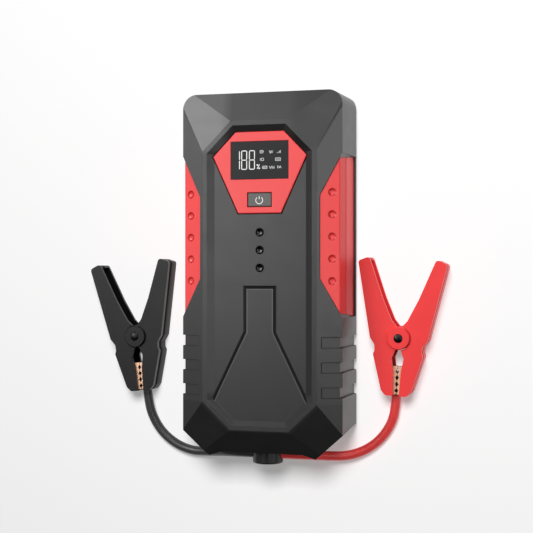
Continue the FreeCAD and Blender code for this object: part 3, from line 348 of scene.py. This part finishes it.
def wallMasks(x, y, z):  # the panel's right wall, darkened with painted shade, and its lower left corner wall
    onWall = z.between(*shellLines["wallDepth"], 0.05)
    rightWall = x.between(*shellLines["rightWall"], 0.1) \
        * y.between(*shellLines["rightWallLength"], 1.0)
    leanX, leanY = shellLines["rimLean"]
    insideRim = (-leanX * x - leanY * y).below(shellLines["innerRim"], 0.1)
    cornerWall = x.below(shellLines["cornerWallSide"], 0.5) \
        * y.below(shellLines["cornerWallTop"], 1.0) * insideRim
    return onWall * rightWall, onWall * cornerWall


def facetMasks(x, y, z, facing):  # the facets that catch more light or less, where that light and shade is painted into the colour
    side = abs(x)
    front = facing.above(shellFacets["front"], 0.1)
    past = (y - shellFacets["sideTop"]).most(0.0)
    onSide = (side - shellFacets["side"] - shellFacets["sideLean"] * past).above(0.2, 0.3)
    corner = y.above(shellFacets["cornerLow"], 1.5) * front * (1 - onSide)
    leanX, leanY = shellLines["rimLean"]
    beyondRim = (leanX * side - leanY * y).above(shellFacets["lowerRim"], 0.2) \
        .most(y.below(shellFacets["lowerEnd"], 0.2))
    inner = shellFacets["cornerInner"]
    return {
        "flanks": onSide * front * y.above(*shellFacets["flankFade"]),
        "leftCorner": corner * x.below(-inner, 3),
        "rightCorner": corner * x.above(inner, 3),
        "lower": y.below(shellFacets["lowerTop"], 0.5) * beyondRim * front
        * z.below(shellFacets["rimFront"], 0.1),
        "walls": side.above(shellFacets["wallSide"], 0.3) * (1 - front),
    }


def shellFinish(name):
    look = basis(name)
    x, y, z = look["spot"].axes()
    facing = look["start"].node("TexCoord", out=1).axes()[2] * 0.001
    valley, edgeHighlight = engravedMasks(x, y, z)
    rightWall, cornerWall = wallMasks(x, y, z)
    shadedGrooves = notchMask(x, y, z).most(valley).most(rightWall)
    masks = {**facetMasks(x, y, z, facing), "shadedGrooves": shadedGrooves, "edgeHighlight": edgeHighlight}
    # each mask paints light or shade into the shell's colour: lit facets lighter, shaded facets,
    # walls and grooves darker, and a highlight line
    for spot, (share, colour) in shellPaintedLight.items():
        look["colour"] = look["colour"].paintedOver(masks[spot] * share, shade(colour))
    rougher = shellLines["groovesRougher"]
    look["rough"] = look["rough"] + rougher * shadedGrooves + rougher * cornerWall
    complete(look)


gripLines = {
    "lowest": -3.1, "highest": 42.3, "pitch": 11.35, "across": 38.2, "radius": 2.1,
    "ringInner": 0.55, "margin": 4.0, "dimpleBack": 24.0, "flank": 41.5, "seam": 18.0,
    "flankShade": (0.9, "dc1e20"), "backSheen": (0.5, "f36a6a"), "ringShade": (0.85, "b8161a"),
    "dimpleShine": 0.28, "flankRougher": 0.1,
}


def gripFinish(name):  # shiny dimples with rings of painted shade, painted shade over the sides, and a painted sheen on their back half
    look = basis(name)
    x, y, z = look["spot"].axes()
    half, radius = gripLines["pitch"] / 2, gripLines["radius"]
    row = (y - gripLines["lowest"]).wrapped(-half, half)
    off = abs(x) - gripLines["across"]
    away = (off * off + row * row).root()
    here = z.above(gripLines["dimpleBack"], 0.5) * y.between(
        gripLines["lowest"] - gripLines["margin"], gripLines["highest"] + gripLines["margin"], 0.1)
    dimple = away.below(radius, 0.25) * here
    ring = away.between(radius * gripLines["ringInner"], radius, 0.25) * here
    flank = abs(x).above(gripLines["flank"], 0.25)
    back = flank * z.below(gripLines["seam"], 0.4)
    # the sides get painted shade, their back half a painted sheen, and the dimples' rings painted
    # shade
    for mask, paintedLight in ((flank, "flankShade"), (back, "backSheen"), (ring, "ringShade")):
        share, colour = gripLines[paintedLight]
        look["colour"] = look["colour"].paintedOver(mask * share, shade(colour))
    look["rough"] = look["rough"] - gripLines["dimpleShine"] * dimple \
        + gripLines["flankRougher"] * flank
    look["more"] = constants[name]
    complete(look)


clamp = {
    # innerShade paints the copper brown behind the jaws' front, as shade
    "jawFront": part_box("black_fixed_jaw")[1].z / mm - 0.3, "innerShade": (0.93, "4b1c10"),
    "scoreLow": 7.2, "scoreHigh": 9.8, "scoreDepth": 0.7, "sideFacing": 0.3, "scoreShare": 0.9,
    "scoreRougher": 0.4, "scoreShades": {"clampBlack": "060202", "clampRed": "a81518"},
}


def copperFinish(name):  # bright front edges, and painted shade in brown further in
    look = basis(name)
    z = look["spot"].axes()[2]
    share, colour = clamp["innerShade"]
    inside = z.below(clamp["jawFront"], 0.12)
    look["colour"] = look["colour"].paintedOver(inside * share, shade(colour))
    complete(look)


def clampFinish(name):  # painted shade, a dark line in the score along the arms
    look = basis(name)
    z = look["spot"].axes()[2]
    score = z.between(clamp["scoreLow"] - 0.1, clamp["scoreHigh"] + 0.1, 0.12)
    look["colour"] = look["colour"].paintedOver(
        score * clamp["scoreShare"], shade(clamp["scoreShades"][name]))
    look["rough"] = look["rough"] + clamp["scoreRougher"] * score
    look["more"] = constants[name]
    complete(look)


constants = {
    # values that are the same all over a finish
    "gripRed": {"Specular IOR Level": 0.35},
    "clampBlack": {"Specular IOR Level": 0.3},
    "clampRed": {"Specular IOR Level": 0.3},
    "displayGlass": {"Specular IOR Level": 0.25},
    "sealDark": {"Specular IOR Level": 0.1},
    "torchClear": {"Alpha": 0.22},
}
makers = {
    "shellBlack": shellFinish, "gripRed": gripFinish, "copperBright": copperFinish,
    "clampBlack": clampFinish, "clampRed": clampFinish,
}
for finishName in finishes:
    makers.get(finishName, plainFinish)(finishName)

slotFinish = {
    "black_shell": "shellBlack", "red_grip": "gripRed", "red_bezel": "bezelRed",
    "dark_window": "displayGlass", "dark_module": "displayBody", "grey_button": "buttonGrey",
    "black_lens": "lensBlack", "pale_led": "lightPale", "green_board": "boardGreen",
    "dark_component": "chipDark", "metal_can": "canMetal", "port_steel": "portSteel",
    "clear_lens": "torchClear", "bright_reflector": "reflectorBright", "grey_foam": "foamGrey",
    "cell_foil": "foilSilver", "copper": "copperBright", "blue_socket": "socketBlue",
    "gold_contact": "contactGold", "dark_steel": "steelDark", "spring_steel": "steelSpring",
    "black_plug": "plugBlack", "black_cable": "cableBlack", "red_cable": "cableRed",
    "black_clamp": "clampBlack", "red_clamp": "clampRed",
}


def wear(obj, finishName):
    obj.data.materials.clear()
    obj.data.materials.append(materials[finishName])
    return obj


nodeSlot = {part["node"]: part["material_slot"] for part in frame["record"]["subparts"]}
for nodeName, obj in nodes.items():
    wear(obj, slotFinish[nodeSlot[nodeName]])
print("finishes made,", len(materials))

# ---- clamp leads

leads = {
    "blackCord": {
        "finish": "cableBlack", "slot": "black_cable", "node": "black_cord",
        "exit": (-0.008, -0.0944, 0.0175), "length": 0.095,
        "route": [
            (-0.003, -0.0944, 0.0175), (-0.0125, -0.0944, 0.0175), (-0.022, -0.0949, 0.0142),
            (-0.0308, -0.0959, 0.0088), (-0.039, -0.0967, 0.0052), (-0.0476, -0.097, 0.0032),
            (-0.0569, -0.094, 0.0025), (-0.0649, -0.0882, 0.0025), (-0.0704, -0.0803, 0.0029),
            (-0.07288, -0.07153, 0.0043), (-0.07376, -0.06237, 0.0043),
        ],
    },
    "redCord": {
        "finish": "cableRed", "slot": "red_cable", "node": "red_cord",
        "exit": (0.008, -0.0944, 0.0175), "length": 0.0874,
        "route": [
            (0.003, -0.0944, 0.0175), (0.0125, -0.0944, 0.0175), (0.0218, -0.0949, 0.0144),
            (0.0306, -0.0957, 0.0092), (0.0399, -0.096, 0.0052), (0.0493, -0.093, 0.0031),
            (0.0572, -0.0872, 0.0025), (0.063, -0.0792, 0.0029), (0.06581, -0.0707, 0.0043),
            (0.0663, -0.06131, 0.0043),
        ],
    },
    "diameter": 0.005, "alongSteps": 16, "roundSteps": 8,
}


def leadCurve(name, route):
    curve = bpy.data.curves.new(name, "CURVE")
    curve.dimensions = "3D"
    line = curve.splines.new("NURBS")
    line.points.add(len(route) - 1)
    for point, spot in zip(line.points, route):
        point.co = (*spot, 1)
    line.order_u = 3
    line.use_endpoint_u = True
    line.resolution_u = leads["alongSteps"]
    curve.bevel_depth = leads["diameter"] / 2
    curve.bevel_resolution = leads["roundSteps"]
    curve.use_fill_caps = True
    return link(bpy.data.objects.new(name, curve))


cords = {}
for cordName in ("blackCord", "redCord"):
    lead = leads[cordName]
    cord = leadCurve(cordName, lead["route"])
    wear(cord, lead["finish"])
    place(cord, "lead", lead["slot"], lead["node"])
    cords[cordName] = cord
print("clamp leads laid")

# ---- softened copies of the moulded parts

near = 1e-6  # points closer than this, in metres, are one
creaseAngle = 3  # degrees between two surfaces that meet in a real edge
moulded = {
    # piece: node, body, edge radius in mm
    "frontShell": ("front_shell", "case", 0.25),
    "rearShell": ("rear_shell", "case", 0.40),
    "gripLeft": ("side_grip_left", "case", 0.20),
    "gripRight": ("side_grip_right", "case", 0.20),
    "bezel": ("display_bezel", "case", 0.22),
    "powerButton": ("power_button", "button", 0.25),
    "leadPlug": ("lead_plug", "lead", 0.30),
    "blackFixedArm": ("black_fixed_arm", "lead", 0.9),
    "blackMovingArm": ("black_moving_arm", "black_clamp_arm", 0.9),
    "redFixedArm": ("red_fixed_arm", "lead", 0.9),
    "redMovingArm": ("red_moving_arm", "red_clamp_arm", 0.9),
}


def mergedMesh(nodeName, pieceName):  # a copy with joined points and weighted edges
    mesh = nodes[nodeName].data.copy()
    mesh.name = pieceName
    facing = [tuple(corner.vector) for corner in mesh.corner_normals]
    form = bmesh.new()
    form.from_mesh(mesh)
    kept = form.loops.layers.float_vector.new("facing")
    for side in form.faces:
        for corner, loop in zip(mesh.polygons[side.index].loop_indices, side.loops):
            loop[kept] = facing[corner]
    bmesh.ops.remove_doubles(form, verts=form.verts, dist=near)
    weight = form.edges.layers.float.new("bevel_weight_edge")
    for edge in form.edges:
        edge[weight] = 1 if isCrease(edge, kept) else 0
        edge.smooth = True
    for side in form.faces:
        side.smooth = True
    form.loops.layers.float_vector.remove(form.loops.layers.float_vector["facing"])
    if nodeName.endswith("arm"):
        score(form, -1 if "moving" in nodeName else 1)
    form.to_mesh(mesh)
    form.free()
    if "custom_normal" in mesh.attributes:
        mesh.attributes.remove(mesh.attributes["custom_normal"])
    return mesh


def score(form, outward):  # a shallow line along the outer side of a clamp arm
    low, high = clamp["scoreLow"] * mm, clamp["scoreHigh"] * mm
    middle = (low + high) / 2
    for level in (low, middle, high):
        bmesh.ops.bisect_plane(form, geom=form.verts[:] + form.edges[:] + form.faces[:],
                               plane_co=(0, 0, level), plane_no=(0, 0, 1), dist=near)
    form.normal_update()
    sunk = []
    for vert in form.verts:
        facing = vert.normal
        sideways = facing.x * outward > clamp["sideFacing"] > abs(facing.z)
        if abs(vert.co.z - middle) < near and sideways:
            sunk.append((vert, Vector((facing.x, facing.y, 0)).normalized()))
    for vert, facing in sunk:
        vert.co -= facing * clamp["scoreDepth"] * mm


def isCrease(edge, kept):
    if len(edge.link_loops) != 2:
        return True
    one, two = edge.link_loops
    pairs = ((one, two.link_loop_next), (one.link_loop_next, two))
    return any(Vector(a[kept]).angle(Vector(b[kept]), 0) > math.radians(creaseAngle)
               for a, b in pairs)


def softened(pieceName, nodeName, body, radius):
    mesh = mergedMesh(nodeName, pieceName)
    piece = link(bpy.data.objects.new(pieceName, mesh))
    rounding = piece.modifiers.new("edges", "BEVEL")
    rounding.width = radius / 1000  # the dictionary has mm
    rounding.segments = 2
    rounding.limit_method = "WEIGHT"
    rounding.use_clamp_overlap = True
    rounding.loop_slide = False
    rounding.harden_normals = True
    return place(piece, body, nodeSlot[nodeName], nodeName)


for pieceName, (nodeName, body, radius) in moulded.items():
    wear(softened(pieceName, nodeName, body, radius), slotFinish[nodeSlot[nodeName]])
print("moulded parts softened")

rivet = {"shank": 2.0, "head": 2.35, "headEdge": 0.6, "dome": 0.75, "crown": 0.15,
         "backHead": 2.3, "backHigh": 0.5, "fillet": 0.05, "rings": 8}


def domedRivet(pieceName, nodeName):
    low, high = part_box(nodeName)
    base, top = low.z / mm, high.z / mm
    head, back, shank = rivet["head"], rivet["backHead"], rivet["shank"]
    edge, backHigh = top - rivet["headEdge"], base + rivet["backHigh"]
    rise = []
    for i in range(rivet["rings"]):
        turn = math.pi / 2 * i / rivet["rings"]
        rise.append((head * math.cos(turn), edge + rivet["dome"] * math.sin(turn)))
    profile = [(0, base), (back, base), (back, backHigh), (shank, backHigh + rivet["fillet"]),
               (shank, edge - 0.02)] + rise + [(0, top + rivet["crown"])]
    mesh = lathe(profile, ((low.x + high.x) / 2, (low.y + high.y) / 2))
    piece = wear(link(bpy.data.objects.new(pieceName, mesh)), "steelDark")
    return place(piece, "lead", "dark_steel", nodeName)


domedRivet("blackRivet", "black_rivet")
domedRivet("redRivet", "red_rivet")

for cordName, cord in cords.items():
    lead = leads[cordName]

# ---- parts that repeat, stamped on points


def stampTree():
    tree = bpy.data.node_groups.new("stampParts", "GeometryNodeTree")
    for label, kind in (("Geometry", "Geometry"), ("Pattern Part", "Object"),
                        ("Thickness", "Float"), ("Finish", "Material")):
        tree.interface.new_socket(label, in_out="INPUT", socket_type="NodeSocket" + kind)
    tree.interface.new_socket("Geometry", in_out="OUTPUT", socket_type="NodeSocketGeometry")
    source = tree.nodes.new("NodeGroupInput")
    start = Wire(tree)
    given = [Wire(tree, socket) for socket in source.outputs]
    part = start.node("GeometryNodeObjectInfo", {}, {"Object": given[1]})
    part.socket = part.socket.node.outputs["Geometry"]
    named = [start.node("GeometryNodeInputNamedAttribute", {}, {"Name": label})
             for label in ("long", "wide", "turn")]
    size = start.node("CombineXYZ", {}, {0: named[0], 1: named[1], 2: given[2]})
    turned = start.node("CombineXYZ", {}, {2: named[2]})
    stamped = start.node("GeometryNodeInstanceOnPoints", {}, {
        "Points": given[0], "Instance": part, "Rotation": turned, "Scale": size})
    solid = start.node("GeometryNodeRealizeInstances", {}, {0: stamped})
    finished = start.node("GeometryNodeSetMaterial", {}, {"Geometry": solid, "Material": given[3]})
    sink = tree.nodes.new("NodeGroupOutput")
    tree.links.new(finished.socket, sink.inputs[0])
    return tree


stamps = stampTree()


def stamped(pieceName, partMesh, marks, thickness, finishName):
    # a mark is (x, y, z, length, width, turn in degrees), in mm
    part = bpy.data.objects.new(pieceName + "Part", partMesh)
    points = bpy.data.meshes.new(pieceName + "Points")
    points.from_pydata([(x * mm, y * mm, z * mm) for x, y, z, *_ in marks], [], [])
    for label, values in (("long", [m[3] for m in marks]), ("wide", [m[4] for m in marks]),
                          ("turn", [math.radians(m[5]) for m in marks])):
        points.attributes.new(label, "FLOAT", "POINT").data.foreach_set("value", values)
    carrier = link(bpy.data.objects.new(pieceName + "Points", points))
    layer = carrier.modifiers.new("stamps", "NODES")
    layer.node_group = stamps
    key = {item.name: item.identifier for item in stamps.interface.items_tree
           if item.in_out == "INPUT"}
    layer[key["Pattern Part"]] = part
    layer[key["Thickness"]] = float(thickness)
    layer[key["Finish"]] = materials[finishName]
    view = bpy.context.evaluated_depsgraph_get()
    mesh = bpy.data.meshes.new_from_object(carrier.evaluated_get(view))
    mesh.name = pieceName
    bpy.data.objects.remove(carrier)
    bpy.data.objects.remove(part)
    return link(bpy.data.objects.new(pieceName, mesh))


def slab(outline, low=0.0, high=1.0, inset=0.0):
    # a closed flat part in mm, with its upper edge drawn in by inset
    form = bmesh.new()
    middle = Vector((sum(p[0] for p in outline), sum(p[1] for p in outline))) / len(outline)
    rings = []
    for z, drawn in ((low, 0), (high, inset)):
        ring = []
        for x, y in outline:
            point = Vector((x, y))
            inward = (middle - point).normalized() * drawn
            ring.append(form.verts.new(((x + inward.x) * mm, (y + inward.y) * mm, z * mm)))
        rings.append(ring)
    count = len(outline)
    for i in range(count):
        j = (i + 1) % count
        form.faces.new((rings[0][i], rings[0][j], rings[1][j], rings[1][i]))
    form.faces.new(rings[1])
    form.faces.new(rings[0][::-1])
    bmesh.ops.recalc_face_normals(form, faces=form.faces)
    mesh = bpy.data.meshes.new("slab")
    form.to_mesh(mesh)
    form.free()
    return mesh


# ---- display: digits and small signs

display = {
    "digitHeight": 10.0, "digitWidth": 3.2, "stroke": 0.46, "fineStroke": 0.19,
    "digitLow": 54.55, "one": -13.75, "eights": (-9.84, -5.63),
    "upperMiddle": 0.745, "uprightShort": 0.72, "acrossShort": 1.25,
    "surface": 33.6, "sunk": 0.005, "lift": 0.035,
}


def digitStrokes(left, low, segments):  # a stroke is (x, y, length, width, turn)
    high, wide, stroke = display["digitHeight"], display["digitWidth"], display["stroke"]
    upright = high / 2 - stroke * display["uprightShort"]  # the strokes stop short of corners
    across = wide - stroke * display["acrossShort"]
    x0, x1 = left + stroke / 2, left + wide - stroke / 2
    upper = low + high * display["upperMiddle"]
    lower = low + high * (1 - display["upperMiddle"])
    places = {
        "upperLeft": (x0, upper, upright, 90),
        "lowerLeft": (x0, lower, upright, 90),
        "upperRight": (x1, upper, upright, 90),
        "lowerRight": (x1, lower, upright, 90),
        "top": ((x0 + x1) / 2, low + high - stroke / 2, across, 0),
        "middle": ((x0 + x1) / 2, low + high / 2, across, 0),
        "bottom": ((x0 + x1) / 2, low + stroke / 2, across, 0),
    }
    drawn = []
    for segment in segments:
        x, y, long, turn = places[segment]
        drawn.append((x, y, long, stroke, turn))
    return drawn


def frameStrokes(left, low, wide, high):
    fine = display["fineStroke"]
    return [
        (left + wide / 2, low + fine / 2, wide, fine, 0),
        (left + wide / 2, low + high - fine / 2, wide, fine, 0),
        (left + fine / 2, low + high / 2, high, fine, 90),
        (left + wide - fine / 2, low + high / 2, high, fine, 90),
    ]


def barStrokes(left, low, heights, pitch=0.52):
    fine = display["fineStroke"]
    return [(left + fine / 2 + i * pitch, low + tall / 2, tall, fine, 90)
            for i, tall in enumerate(heights)]


def zigzagStrokes(left, low, wide, high, legs):
    step = wide / legs
    long = math.hypot(step, high)
    lean = math.degrees(math.atan2(high, step))
    return [(left + step * (i + 0.5), low + high / 2, long, display["fineStroke"],
             lean if i % 2 else -lean) for i in range(legs)]


everySegment = ("upperLeft", "lowerLeft", "upperRight", "lowerRight", "top", "middle", "bottom")
percent = [(-0.62, 56.0, 2.7, 0.42, 62), (-1.12, 56.85, 0.85, 0.72, 0),
           (-0.12, 55.15, 0.85, 0.72, 0)]
signs = [
    # kind, left, low, then its own sizes
    (frameStrokes, 0.25, 62.9, 1.7, 1.55),
    (barStrokes, 2.05, 63.3, (0.8,)),
    (barStrokes, 0.68, 63.3, (0.75, 0.75), 0.5),
    (zigzagStrokes, 5.3, 62.75, 2.0, 1.55, 4),
    (barStrokes, 9.45, 62.7, (0.5, 0.9, 1.3, 1.6), 0.58),
    (barStrokes, 0.4, 59.0, (1.45,)),
    (frameStrokes, 1.0, 59.0, 1.35, 1.45),
    (frameStrokes, 8.5, 58.8, 2.95, 1.6),
    (barStrokes, 8.95, 59.2, (0.8, 0.8, 0.8, 0.8), 0.6),
    (frameStrokes, 1.6, 54.85, 2.6, 1.5),
    (barStrokes, 2.05, 55.2, (0.8, 0.8, 0.8, 0.8), 0.5),
    (zigzagStrokes, 5.3, 54.75, 1.3, 1.5, 2),
    (barStrokes, 6.8, 54.75, (1.5, 1.1, 1.5), 0.5),
    (barStrokes, 9.65, 54.8, (1.6,)),
    (zigzagStrokes, 10.2, 54.85, 1.5, 1.5, 3),
]
strokes = digitStrokes(display["one"], display["digitLow"], ("upperRight", "lowerRight"))
for left in display["eights"]:
    strokes += digitStrokes(left, display["digitLow"], everySegment)
strokes += percent
for sign, *sizes in signs:
    strokes += sign(*sizes)
strokeMesh = slab([(-0.5, 0), (-0.42, -0.5), (0.42, -0.5), (0.5, 0), (0.42, 0.5), (-0.42, 0.5)])
marks = [(x, y, display["surface"] - display["sunk"], long, wide, turn)
         for x, y, long, wide, turn in strokes]
displayMarks = stamped("displayMarks", strokeMesh, marks, display["lift"], "markWhite")
place(displayMarks, "case", "pale_led")
print("display drawn,", len(strokes), "strokes")

# ---- power sign on the button

powerSign = {"middle": (-0.15, 38.65), "radius": 1.85, "line": 0.38, "opening": 80,
             "bar": (0.55, 2.15), "steps": 36, "sunk": 0.01, "lift": 0.05}


def powerMesh():
    form = bmesh.new()
    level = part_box("power_button")[1].z - powerSign["sunk"] * mm
    midX, midY = powerSign["middle"]
    half, steps = powerSign["line"] / 2, powerSign["steps"]
    start = 90 + powerSign["opening"] / 2
    sweep = 360 - powerSign["opening"]
    shapes = []
    for i in range(steps):
        corners = []
        for step, side in ((i, -half), (i, half), (i + 1, half), (i + 1, -half)):
            turn = math.radians(start + sweep * step / steps)
            far = powerSign["radius"] + side
            corners.append((midX + far * math.cos(turn), midY + far * math.sin(turn)))
        shapes.append(corners)
    below, above = powerSign["bar"]
    shapes.append([(midX - half, midY + below), (midX + half, midY + below),
                   (midX + half, midY + above), (midX - half, midY + above)])
    for corners in shapes:
        face = form.faces.new([form.verts.new((x * mm, y * mm, level)) for x, y in corners])
        face.normal_update()
    bmesh.ops.remove_doubles(form, verts=form.verts, dist=1e-7)
    lifted = bmesh.ops.extrude_face_region(form, geom=form.faces[:])
    risen = [v for v in lifted["geom"] if isinstance(v, bmesh.types.BMVert)]
    bmesh.ops.translate(form, verts=risen, vec=(0, 0, powerSign["lift"] * mm))
    bmesh.ops.recalc_face_normals(form, faces=form.faces)
    mesh = bpy.data.meshes.new("powerSign")
    form.to_mesh(mesh)
    form.free()
    return mesh


sign = link(bpy.data.objects.new("powerSign", powerMesh()))
wear(sign, "markWhite")
place(sign, "button", "pale_led")
print("power sign drawn")

# ---- screws that hold the case together

screw = {
    "head": 2.6, "headHigh": 2.2, "headEdge": 0.5, "shank": 1.2, "long": 17.0, "point": 0.3,
    "cross": 0.55, "arm": 1.7, "recess": 1.1, "draft": 0.12,
    "turns": 22, "pitch": 0.72, "threadDeep": 0.25, "threadStart": 0.4, "steps": 20,
    "at": [(-36.5, 78, 12), (36.5, 78, 57), (-36.5, -74, 33), (36.5, -74, 80)],
}


def screwMesh():  # a cross-head screw, with its head's face at the height 0 and its tip up
    head, high, shank = screw["head"], screw["headHigh"], screw["shank"]
    edge, tip = screw["headEdge"], screw["headHigh"] + screw["long"]
    profile = [(0, 0), (head - edge, 0), (head, edge), (head, high), (shank, high)]
    for i in range(screw["turns"]):
        root = high + screw["threadStart"] + i * screw["pitch"]
        profile += [(shank - screw["threadDeep"], root), (shank, root + screw["pitch"] / 2)]
    profile += [(screw["point"], tip - screw["point"]), (0, tip)]
    body = link(bpy.data.objects.new("screwBody", lathe(profile, (0, 0), screw["steps"])))
    arm, cross = screw["arm"], screw["cross"] / 2
    for long, wide in ((arm, cross), (cross, arm)):
        outline = [(-long, -wide), (long, -wide), (long, wide), (-long, wide)]
        bar = slab(outline, -1, screw["recess"], screw["draft"])
        cut = body.modifiers.new("recess", "BOOLEAN")
        cut.operation = "DIFFERENCE"
        cut.object = link(bpy.data.objects.new("screwTool", bar))
    view = bpy.context.evaluated_depsgraph_get()
    mesh = bpy.data.meshes.new_from_object(body.evaluated_get(view))
    for obj in [body] + [cut.object for cut in body.modifiers]:
        bpy.data.objects.remove(obj)
    return mesh


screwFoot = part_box("case_screws")[0].z / mm
screwMarks = [(x, y, screwFoot, 1, 1, turn) for x, y, turn in screw["at"]]
caseScrews = stamped("caseScrews", screwMesh(), screwMarks, 1, "steelDark")
place(caseScrews, "case", "dark_steel", "case_screws")
print("screws driven,", len(screwMarks))

# ---- a dark skirt of painted shade round the bezel, and rings round the indicator lights

shadeSkirt = {
    # corners of the right half from the top down
    "corners": [(13.0, 74.2), (25.25, 61.5), (11.6, 31.8)],
    "inner": -0.1, "outer": 1.0, "low": 32.6, "high": 33.36, "slopeWide": 0.25, "slopeHigh": 0.15,
}


def widened(outline, margin):  # a closed convex outline, moved outwards
    moved = []
    count = len(outline)
    for i in range(count):
        before, here, after = (Vector(outline[(i + k) % count]) for k in (-1, 0, 1))
        one, two = (here - before).normalized(), (after - here).normalized()
        outOne, outTwo = Vector((one.y, -one.x)), Vector((two.y, -two.x))
        lean = (outOne + outTwo).normalized()
        moved.append(here + lean * (margin / lean.dot(outOne)))
    return moved


def shadeSkirtMesh():
    right = shadeSkirt["corners"]
    outline = [(-x, y) for x, y in right[::-1]] + right
    form = bmesh.new()
    loops = []
    for margin, z in ((shadeSkirt["inner"], shadeSkirt["low"]), (shadeSkirt["inner"], shadeSkirt["high"]),
                      (shadeSkirt["outer"] - shadeSkirt["slopeWide"], shadeSkirt["high"]),
                      (shadeSkirt["outer"], shadeSkirt["high"] - shadeSkirt["slopeHigh"]),
                      (shadeSkirt["outer"], shadeSkirt["low"])):
        ring = widened(outline, margin)
        loops.append([form.verts.new((p.x * mm, p.y * mm, z * mm)) for p in ring])
    for one, two in zip(loops, loops[1:] + loops[:1]):
        for i in range(len(one)):
            j = (i + 1) % len(one)
            form.faces.new((one[i], one[j], two[j], two[i]))
    bmesh.ops.recalc_face_normals(form, faces=form.faces)
    mesh = bpy.data.meshes.new("bezelSeal")
    form.to_mesh(mesh)
    form.free()
    return mesh


# the bezel's skirt is a dark piece that paints the shade in the gap round the bezel
bezelSeal = wear(link(bpy.data.objects.new("bezelSeal", shadeSkirtMesh())), "sealDark")
place(bezelSeal, "case", "dark_module")

lights = {"ringOuter": 2.25, "ringInner": 1.6, "rise": 0.16, "foot": -0.3, "floor": 33.2,
          "innerSlope": (0.12, 0.08), "outerSlope": (0.25, 0.1), "count": 3}
inner, outer, rise, foot = (lights[key] for key in ("ringInner", "ringOuter", "rise", "foot"))
(innerWide, innerHigh), (outerWide, outerHigh) = lights["innerSlope"], lights["outerSlope"]
ringProfile = [(inner, foot), (inner, rise - innerHigh), (inner + innerWide, rise),
               (outer - outerWide, rise), (outer, rise - outerHigh), (outer, foot), (inner, foot)]
lensMarks = []
for i in range(lights["count"]):
    low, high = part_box(f"indicator_lens_{i + 1}")
    middle = (low + high) / 2 / mm
    lensMarks.append((middle.x, middle.y, lights["floor"], 1, 1, 0))
lightRings = stamped("lightRings", lathe(ringProfile, (0, 0)), lensMarks, 1, "sealDark")
place(lightRings, "case", "black_lens")
print("seal and light rings made")

# ---- floor and light

studio = {
    "floorColour": "e6e6e6", "floorGlow": 0.32, "farGlow": 0.80, "floorReach": 3,
    "glowReach": (1 / 3, 13 / 9), "floorRough": 0.9, "floorLamp": (74, 66, 0.42, 12.8),
    "backdrop": "fafafa", "fill": 0.02, "distance": 1.2,
    "softboxes": [
        # azimuth, elevation, size in metres, watts
        (150, 47, 0.45, 6.4), (168, 70, 0.30, 1.9), (119, 42, 0.45, 2.0), (82, 66, 0.30, 1.6),
        (180, 29, 0.45, 0.7), (0, 60, 0.30, 1.6), (0, 30, 0.45, 1.9), (62, 35, 0.50, 4.0),
    ],
}


def makeFloor():
    reach = studio["floorReach"]
    mesh = bpy.data.meshes.new("floor")
    mesh.from_pydata(
        [(-reach, -reach, 0), (reach, -reach, 0), (reach, reach, 0), (-reach, reach, 0)], [],
        [(0, 1, 2, 3)])
    paint = bpy.data.materials.new("floorPale")
    paint.use_nodes = True
    paint.node_tree.nodes.clear()
    start = Wire(paint.node_tree)
    spot = start.node("TexCoord", out=3)
    away = start.node("VectorMath", {"operation": "LENGTH"}, {0: spot}, out=1)
    first, last = studio["glowReach"]
    glow = away.above((first + last) / 2, (last - first) / 2).tint(
        (studio["floorGlow"],) * 3 + (1,), (studio["farGlow"],) * 3 + (1,))
    skin = start.node("BsdfPrincipled", {}, {
        "Base Color": shade(studio["floorColour"]), "Roughness": studio["floorRough"],
        "Specular IOR Level": 0.0, "Emission Color": glow, "Emission Strength": 1.0})
    start.node("OutputMaterial", {}, {"Surface": skin}, out=None)
    mesh.materials.append(paint)
    return link(bpy.data.objects.new("floor", mesh))


def hangSoftbox(azimuth, elevation, size, watts):
    turn, rise = math.radians(azimuth), math.radians(elevation)
    far = studio["distance"]
    lamp = bpy.data.lights.new("softbox", "AREA")
    lamp.size = size
    lamp.energy = watts
    at = (far * math.cos(turn) * math.cos(rise), far * math.sin(turn) * math.cos(rise),
          far * math.sin(rise))
    made = link(bpy.data.objects.new("softbox", lamp))
    aim(made, at, (0, 0, 0), (0, 1, 0))
    return made


def lightOnly(lamp, floor, state):  # one lamp lights the floor, and the others the object
    group = bpy.data.collections.new("lit")
    group.objects.link(floor)
    group.collection_objects[0].light_linking.link_state = state
    lamp.light_linking.receiver_collection = group


def makeWorld():  # a pale backdrop that lights the object only a little
    made = bpy.data.worlds.new("studio")
    made.use_nodes = True
    made.node_tree.nodes.clear()
    start = Wire(made.node_tree)
    seen = start.node("LightPath")
    backdrop = start.node("Background", {}, {
        "Color": shade(studio["backdrop"]),
        "Strength": studio["fill"] + (1 - studio["fill"]) * seen})
    start.node("OutputWorld", {}, {"Surface": backdrop}, out=None)
    return made


floor = makeFloor()
floor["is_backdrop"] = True
for softbox in studio["softboxes"]:
    lightOnly(hangSoftbox(*softbox), floor, "EXCLUDE")
lightOnly(hangSoftbox(*studio["floorLamp"]), floor, "INCLUDE")
bpy.context.scene.world = makeWorld()
bpy.context.scene.view_settings.view_transform = "Standard"
print("floor and light set")

# ---- sizes

low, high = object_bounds()
